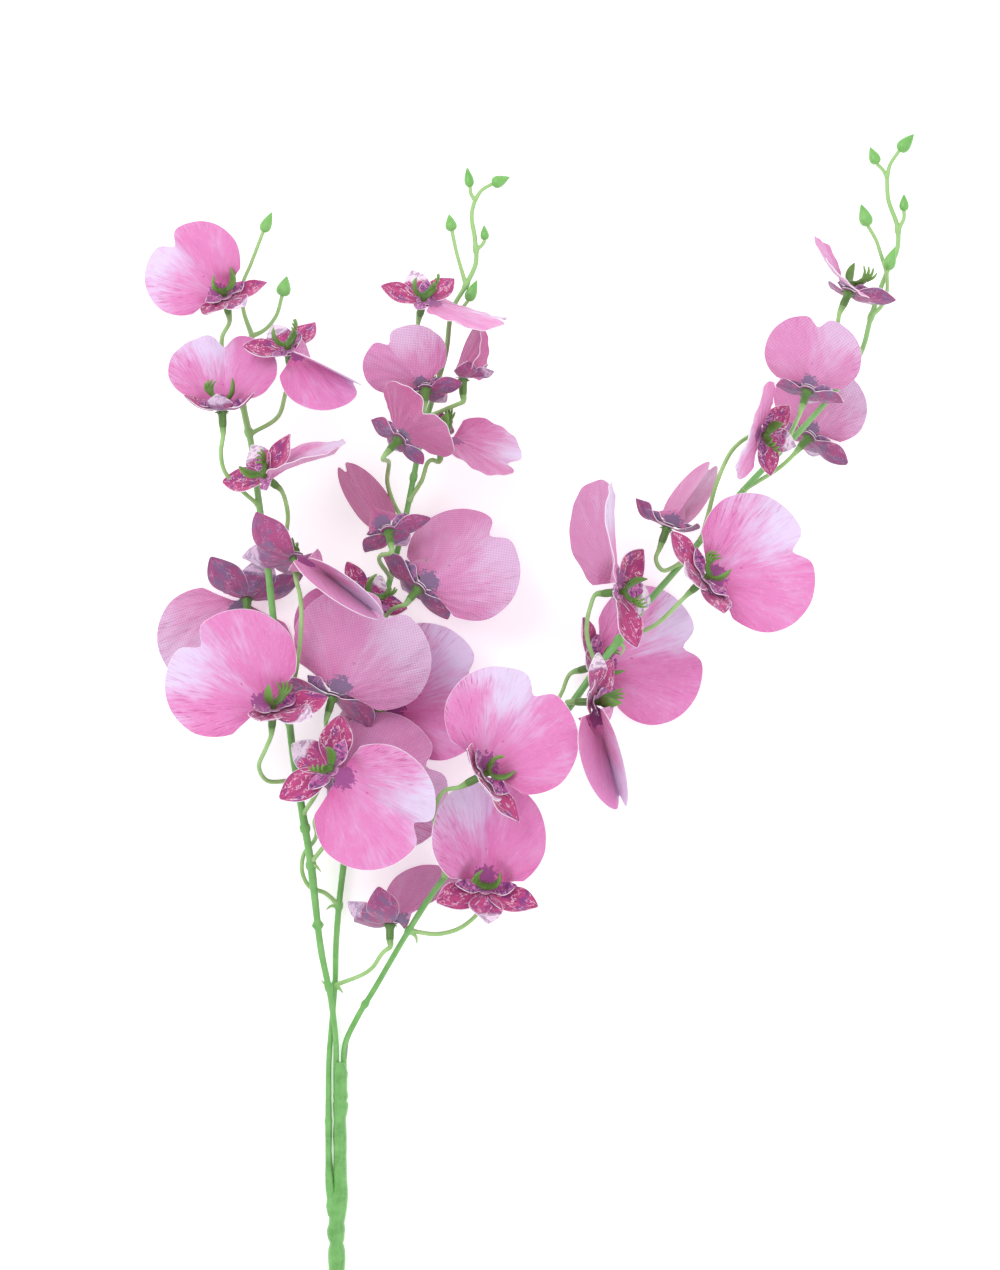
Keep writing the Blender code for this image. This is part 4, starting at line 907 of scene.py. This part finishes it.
def lip_print(name, colours, back):
    """Printed polyester cloth: pale, pink and deep inks, radiating streaks, spot, dot, edge.

    Painted shade darkens some lips, and the gaps between the threads on the back.
    """
    material, tree, shader = new_material(name, 0.78, **THIN_CLOTH)
    pink, pale, deep, streak, crest, dot, dyed = colours
    broad = print_noise(tree, (3.0, 0.4, 0.0), 3.0)
    fine = print_noise(tree, (24.0, 0.8, 0.0), 4.0)
    hair = print_noise(tree, (52.0, 1.1, 0.0), 3.0)
    dashes = print_noise(tree, (38.0, 5.0, 0.0), 2.0)
    jagged = print_noise(tree, (7.0, 5.0, 0.0), 2.0)
    dye, wash, depth, lines, ragged, centre = (
        add_node(tree, "Attribute", {}, "Fac", attribute_name=key)
        for key in ("dye", "pale", "deep", "lines", "crest", "dot")
    )
    # The pale wash and the deep ink both run out in fine streaks, and a lip darkened by painted
    # shade has no wash.
    streaky = add_node(tree, "MapRange", (fine, 0.3, 0.7, -0.17, 0.17), **EASED)
    cloudy = add_node(tree, "MapRange", (broad, 0.3, 0.7, -0.22, 0.22), **EASED)
    cloudy = add_node(tree, "Math", (streaky, cloudy), operation="ADD")
    wash = add_node(tree, "Math", (wash, cloudy), operation="ADD")
    undyed = add_node(tree, "Math", (1.0, dye), operation="SUBTRACT")
    wash = add_node(tree, "Math", (wash, undyed), operation="MULTIPLY")
    depth = add_node(tree, "Math", (depth, streaky), operation="ADD")
    hairs = add_node(tree, "MapRange", (hair, 0.53, 0.66, 0.0, 0.45 if back else 0.7), **EASED)
    torn = add_node(tree, "MapRange", (jagged, 0.3, 0.7, -0.3, 0.3), **EASED)
    ragged = add_node(tree, "Math", (ragged, torn), operation="ADD")
    inks = [
        (add_node(tree, "MapRange", (wash, -0.1, 1.05), **EASED), pale),
        (add_node(tree, "MapRange", (depth, 0.1, 1.1, 0.0, 0.8), **EASED), deep),
        (add_node(tree, "MapRange", (dashes, 0.55, 0.72, 0.0, 0.22), **EASED), pale),
        (add_node(tree, "Math", (hairs, lines), operation="MULTIPLY"), streak),
        (add_node(tree, "MapRange", (ragged, 1.0, 0.88, 0.0, 0.9), **EASED), crest),
        (add_node(tree, "MapRange", (centre, 1.05, 0.75, 0.0, 0.6), **EASED), dot),
    ]
    # Painted shade: some lips have their pink darkened, by the share that their bloom gives.
    colours = {"Factor": dye, "A": pink, "B": dyed}
    ground = add_node(tree, "Mix", colours, "Result", data_type="RGBA")
    # On the back, painted shade darkens the gaps between the threads.
    threads_and_gap_shade = (0.6, 0.3, "#8E4A80") if back else None
    inked(tree, shader, ground, inks, fine, threads_and_gap_shade, (0.9, "#F0E4F1"))
    return material


# The face is matt and bright. The back is duller and greyer, with its threads plain to see
# and painted shade in the gaps between them.
# The last colour of each is painted shade, for the darkened lips.
lip_face = lip_print(
    "printed polyester cloth, lip face",
    ("#DA84BD", "#DCCEE8", "#CC5A9E", "#B94A8E", "#98468A", "#C23A7E", "#B2487F"), False,
)
lip_back = lip_print(
    "printed polyester cloth, lip back",
    ("#D790BF", "#DDBFDC", "#C46A9C", "#AE5088", "#796A8C", "#B4508A", "#B84A88"), True,
)

# The hot cut melts the cloth's rim to a thin white bead.
cut_edge = clouded("hot-cut polyester edge", 0.6, 0.6667 * MM, 1.0, "#E2D3E2", "#F7F2F7")


def star_print(name, colours, back):
    """Printed polyester cloth: crimson ground, violet patches and white tips.

    White squiggles over it are painted highlight, and the gaps between the threads on its back
    get painted shade.
    """
    material, tree, shader = new_material(name, 0.7, **THIN_CLOTH)
    ground, second, patch, glint, tip = colours
    clouds = print_noise(tree, (4.0, 2.2, 0.0), 3.0)
    blots = print_noise(tree, (2.8, 3.3, 0.0), 3.0)
    squiggle_noise = print_noise(tree, (8.0, 8.0, 0.0), 3.0)
    masks = print_noise(tree, (7.0, 5.0, 3.0), 1.0)
    stripes = print_noise(tree, (2.2, 11.0, 0.0), 2.0)
    white, bars = (
        add_node(tree, "Attribute", {}, "Fac", attribute_name=key) for key in ("white", "bars")
    )
    # The painted highlights lie in squiggles, along the lines where a noise crosses its
    # middle value.
    away = add_node(tree, "Math", (squiggle_noise, 0.5), operation="SUBTRACT")
    away = add_node(tree, "Math", (away,), operation="ABSOLUTE")
    ridge = add_node(tree, "MapRange", (away, 0.034, 0.01), **EASED)
    broken = add_node(tree, "MapRange", (masks, 0.46, 0.6, 0.0, 0.5 if back else 0.9), **EASED)
    uneven = add_node(tree, "MapRange", (clouds, 0.3, 0.7, -0.2, 0.2), **EASED)
    white = add_node(tree, "Math", (white, uneven), operation="ADD")
    striped = add_node(tree, "MapRange", (stripes, 0.5, 0.56), **EASED)
    low, high = (0.47, 0.6) if back else (0.54, 0.64)
    inks = [
        (add_node(tree, "MapRange", (clouds, 0.35, 0.65), **EASED), second),
        (add_node(tree, "MapRange", (blots, low, high, 0.0, 0.8), **EASED), patch),
        (add_node(tree, "Math", (ridge, broken), operation="MULTIPLY"), glint),
        (add_node(tree, "MapRange", (white, 0.35, 0.85, 0.0, 0.9), **EASED), tip),
        (add_node(tree, "Math", (striped, bars), operation="MULTIPLY"), patch),
    ]
    # On the back, painted shade darkens the gaps between the threads.
    threads_and_gap_shade = (0.5, 0.25, "#6A3A66") if back else None
    inked(tree, shader, ground, inks, blots, threads_and_gap_shade, (0.95, "#EADCEA"))
    return material


# The ears' ground is a lighter mauve than the stars'. Their fourth colour is painted highlight.
ear_face = star_print(
    "printed polyester cloth, ear face", ("#B8509C", "#D77FC0", "#7A3A80", "#F2E2F2", "#E9DDF0"), False
)
ear_back = star_print(
    "printed polyester cloth, ear back", ("#B0649C", "#C286B2", "#7A6490", "#DCC0DA", "#E3D5E8"), True
)

for name, bloom in BLOOMS.items():
    u, v = np.meshgrid(2 * spread(77, 0.004) - 1, np.concatenate([np.linspace(0, 0.992, 42), [1]]))
    points, angle, reach, flat = lip_points(bloom, u, v)
    size = bloom["size"]
    # The pale wash lies beside the notch on the left lobe, broad or narrow by the bloom, and thins
    # out along its rim.
    wide = 0.3 + 0.1 * math.sin(bloom["phase"])
    beside = np.exp(-(((u + 0.18) / np.where(u < -0.18, wide, 0.22)) ** 2))
    rim = 0.3 * smooth_step((v - 0.72) / 0.28) * smooth_step(-1.6 * u) * smooth_step(3.06 + 3 * u)
    pale = 1.1 * beside * smooth_step((v - 0.2) / 0.8) + rim + 0.04
    deep = 0.8 * smooth_step(1 - v * 1.6) + 0.5 * smooth_step((abs(u) - 0.55) * 2.4)
    deep = np.clip(deep * (1 - 0.8 * beside) + 0.15 * smooth_step(u * 2), 0, 1)
    crest = np.hypot(flat[..., 0], flat[..., 1] - SPOT_CENTRE * size) / (SPOT_RADIUS * size)
    dot = np.hypot(flat[..., 0], flat[..., 1] - DOT_CENTRE * size) / (DOT_RADIUS * size)
    rim_edge = smooth_step((v - 0.992) / 0.006)
    side_edge = smooth_step((abs(u) - 0.992) / 0.006) * smooth_step(v * 4)
    fields = {
        "pale": pale, "deep": deep, "crest": crest, "dot": dot,
        "lines": smooth_step(v * 3) * (0.35 + 0.65 * smooth_step(-2 * u - 0.2)) * (1 - 0.4 * beside),
        "edge": np.maximum(rim_edge, side_edge), "print": bloom["print"],
        "dye": bloom.get("dye", 0.0),
    }
    sheet = {
        "points": points, "fields": fields,
        "ray": np.stack([angle, reach / CUT_UNIT], axis=-1), "cut": flat / CUT_UNIT,
    }
    piece = cloth(f"lip_{name}", [sheet], [lip_face, lip_back, cut_edge])
    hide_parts("bloom_" + name)
    tips = {
        "white": lambda u, v: 0.25 * smooth_step((v - 0.6) * 3),
        "bars": lambda u, v: 0.9 + 0 * u,
    }
    ears = [
        petal_sheet(bloom, bloom["axes"], angle, EAR_LENGTH, EAR_WIDTH, EAR_LIFT, LAYER, tips)
        for angle in (-EAR_ANGLE, EAR_ANGLE)
    ]
    ears.append(hub_ring(bloom, [0.95, 1.6, 2.6, 3.5], LAYER))
    cloth(f"ears_{name}", ears, [ear_face, ear_back, cut_edge])


# The stars
#
# Behind each lip lies a second piece of the same cloth, hot cut to three pointed sepals and
# cupped. Its print is a dark crimson, and the middle sepal's tip is white. White squiggles on it
# are painted highlight.

# The stars are the darkest of the cloth, and their backs are a dull mauve. The fourth
# colour of each is painted highlight.
star_face = star_print(
    "printed polyester cloth, star face", ("#C24886", "#A63475", "#7E3A86", "#F6DDEC", "#F1E6F3"), False
)
star_back = star_print(
    "printed polyester cloth, star back", ("#AC4A82", "#94487C", "#77608A", "#D9A8C8", "#DAC4DC"), True
)
SEPALS = (  # the angle from the lip's middle line, the length, and how white its tip is
    (-118, 27 * MM, 0.0), (180, 24 * MM, 1.0), (118, 27 * MM, 0.0),
)
SEPAL_WIDTH = 7.2 * MM
for name, bloom in BLOOMS.items():
    grown = bloom.get("sepals", 1.0)
    sepals = []
    for (angle, length, white), lift in zip(SEPALS, bloom.get("star", (25, 25, 25))):
        tips = {
            "white": lambda u, v, white=white: white * smooth_step((v - 0.45) / 0.3),
            "bars": lambda u, v, white=white: white * 0.5 * smooth_step(v * 2),
        }
        sepals.append(petal_sheet(
            bloom, bloom["star_axes"], angle, length * grown, SEPAL_WIDTH * grown, lift, -LAYER, tips
        ))
    sepals.append(hub_ring(bloom, [0.95, 1.6, 2.8, 3.9], -LAYER))
    piece = cloth(f"star_{name}", sepals, [star_face, star_back, cut_edge])
    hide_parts("bloom_" + name)


# The columns
#
# A moulded green piece is pushed on the pin in front of the cloth. It has a curved tongue on one
# side, and on the other an arm that ends in a comb of short fingers.

COLUMN_STEPS = np.array([-1.2, 0, 0.9, 1.9, 2.7, 3.1]) * MM
COLUMN_RADII = np.array([1.5, 1.8, 2.0, 1.9, 1.3, 0.5]) * MM
COLUMN_SIDES = 14
ARMS_CHANGED = ("left_7", "left_9")  # their tongue is on the other side
TONGUE = [(0, 0, 0.3), (3.0, -1.0, 1.4), (5.2, -1.5, 4.4), (6.0, -1.5, 8.2), (5.7, -1.2, 12.2)]
PALM = [(0, 0, 0.3), (-2.6, -0.8, 1.5), (-4.2, -1.2, 3.4), (-5.0, -1.4, 5.0)]


def tongue_radius(share):
    """Half a wave along the tongue, from thin to broad, and drawn in again near its tip."""
    return 0.5 + 0.75 * np.sin(np.pi * np.clip(share * 1.02, 0, 1)) ** 0.9 - 0.35 * share**6


ARMS = [  # the places in mm, the step between rings, the radius, the tone, the sides, how wide
    (TONGUE, 0.45, tongue_radius, lambda share: 0.55 * share, COLUMN_SIDES, 2.3),
    (PALM, 0.45, lambda share: 1.15 + 0.1 * share, lambda share: 0.2 * share, COLUMN_SIDES, 2.0),
]
for lean, reach, thick in ((-4.0, 5.2, 0.8), (-1.5, 6.6, 0.9), (0.9, 6.2, 0.88), (3.3, 5.4, 0.75)):
    # A finger of the comb leans aside from the palm's end, and thins towards its tip.
    finger = np.array(PALM[-1]) + [
        (0.2 + 0.15 * lean, 0.3 * lean, -0.6),
        (0.45 * lean - 0.15 * reach, 0.6 * lean, 0.5 * reach),
        (0.65 * lean + 0.02 * reach, 0.8 * lean, reach),
    ]
    ARMS.append((
        finger, 0.4, lambda share, thick=thick: thick * (1 - 0.55 * share**2),
        lambda share: 0.2 + 0.6 * share, 10, 1.0,
    ))

# The darkest green, with a plain shine, and paler at the tips of the tongue and fingers.
column_plastic = plastic("moulded polyethylene column", "#416822", "#5A8232", "#80AE54", 0.34)
for side in STEMS:
    parts, tones = [], []
    for name, bloom in BLOOMS.items():
        if not name.startswith(side):
            continue
        axes = bloom["star_axes"] * [-1 if name in ARMS_CHANGED else 1, 1, 1]
        scale = bloom.get("arms", 1.0) * MM
        pin = axes[:, 2]
        front = HUB_HALF + CLEARANCE
        path = bloom["place"] + (COLUMN_STEPS + front)[:, None] * pin
        parts.append(rod(path, COLUMN_RADII, COLUMN_SIDES))
        tones.append(0.0)
        head = bloom["place"] + pin * (front + 1.2 * MM)
        for points, step, radius, tone, sides, wide in ARMS:
            path = smooth_line(head + np.array(points) @ axes.T * scale, step * scale)
            share = np.linspace(0, 1, len(path))
            across = axes[:, 1] if wide > 1 else None
            parts.append(rod(path, radius(share) * scale, sides, wide, across))
            tones.append(np.repeat(tone(share), sides))
    moulding(f"columns_{side}", parts, column_plastic, tones)


# The buds
#
# At each twig's end sits a closed bud, moulded hollow and pointed, in a fresher green.

BUDS = {  # the base, the tip and the width in pixels
    "left": [((263, 232, 34), (272, 212, 34), 12), ((282, 296, 34), (287, 276, 34), 15)],
    "middle": [
        ((452, 231, 34), (449, 214, 34), 12), ((468, 301, 35), (477, 280, 36), 12),
        ((485, 240, 33), (484, 225, 33), 9), ((470, 187, 32), (467, 167, 32), 10),
        ((492, 184, 32), (510, 177, 32), 13),
    ],
    "right": [
        ((868, 226, 31), (861, 204, 31), 14), ((887, 270, 35), (895, 247, 36), 13),
        ((904, 211, 29), (904, 194, 29), 10), ((877, 164, 27), (870, 147, 27), 12),
        ((899, 151, 27), (914, 134, 27), 14),
    ],
}
# A fresh light green with a shine.
bud_plastic = plastic("moulded polyethylene bud", "#6BAF55", "#84C069", "#93CC78", 0.3)
for side, places in BUDS.items():
    buds = []
    for base, tip, width in places:
        start, end = spot(*base), spot(*tip)
        share = np.linspace(0, 1, 22)
        path = start + (end - start) * (share[:, None] * 1.02 - 0.02)
        profile = np.sin(np.pi * share**0.62) ** 0.75 * (1 - 0.25 * share**2)
        radii = np.maximum(profile * width * PIXEL / 2, 0.12 * MM)
        buds.append(rod(path, radii, 16))
    moulding(f"buds_{side}", buds, bud_plastic)


# The table, the lights and the camera
#
# The spray lies on white card that is lit a little from below, as on a light table, so that its
# shadows stay faint. The camera looks straight down on it.

TABLE_HALF = 3.0  # metres
PICTURE_LONG = 1270  # the picture's long side, in pixels

# Matt card has no shine. It glows a little, as the light under it would make it.
paper = clouded(
    "matt white card", 0.9, 16.667 * MM, 3.0, "#FAFAFA", "#FDFDFD",
    Emission_Strength=0.32, Emission_Color=linear("#FFFFFF"),
)
mesh = bpy.data.meshes.new("table")
corners = [(x * TABLE_HALF, y * TABLE_HALF, 0) for x, y in ((-1, -1), (1, -1), (1, 1), (-1, 1))]
mesh.from_pydata(corners, [], [(0, 1, 2, 3)])
mesh.materials.append(paper)
table = linked_object("table", mesh)

world = bpy.data.worlds.new("soft studio")
world.use_nodes = True
sky = world.node_tree.nodes["Background"]
sky.inputs["Color"].default_value = linear("#FAFAFC")
sky.inputs["Strength"].default_value = 0.95
bpy.context.scene.world = world

for label, where, size, power in (
    ("key", (-0.9, 0.9, 1.6), 1.0, 12.0),
    ("fill", (1.2, -0.6, 1.5), 1.6, 7.0),
):
    lamp = bpy.data.lights.new(label, "AREA")
    lamp.shape = "SQUARE"
    lamp.size = size
    lamp.energy = power
    light = linked_object(label, lamp)
    light.location = where
    aim = -np.array(where)
    tilt = math.atan2(math.hypot(aim[0], aim[1]), -aim[2])
    light.rotation_euler = (tilt, 0, math.atan2(aim[1], aim[0]) - math.pi / 2)

camera_data = bpy.data.cameras.new("camera")
camera_data.lens = camera_data.sensor_width * EYE_HEIGHT / (PICTURE_LONG * PIXEL)
camera_data.clip_end = 20
camera = linked_object("camera", camera_data)
camera.location = (
    (EYE_PIXEL[0] - ORIGIN_PIXEL[0]) * PIXEL,
    (ORIGIN_PIXEL[1] - EYE_PIXEL[1]) * PIXEL,
    MID_HEIGHT + EYE_HEIGHT,
)
bpy.context.scene.camera = camera

# Colours are shown as they are, as the picture of the real spray shows them.
bpy.context.scene.view_settings.view_transform = "Standard"
bpy.context.view_layer.update()
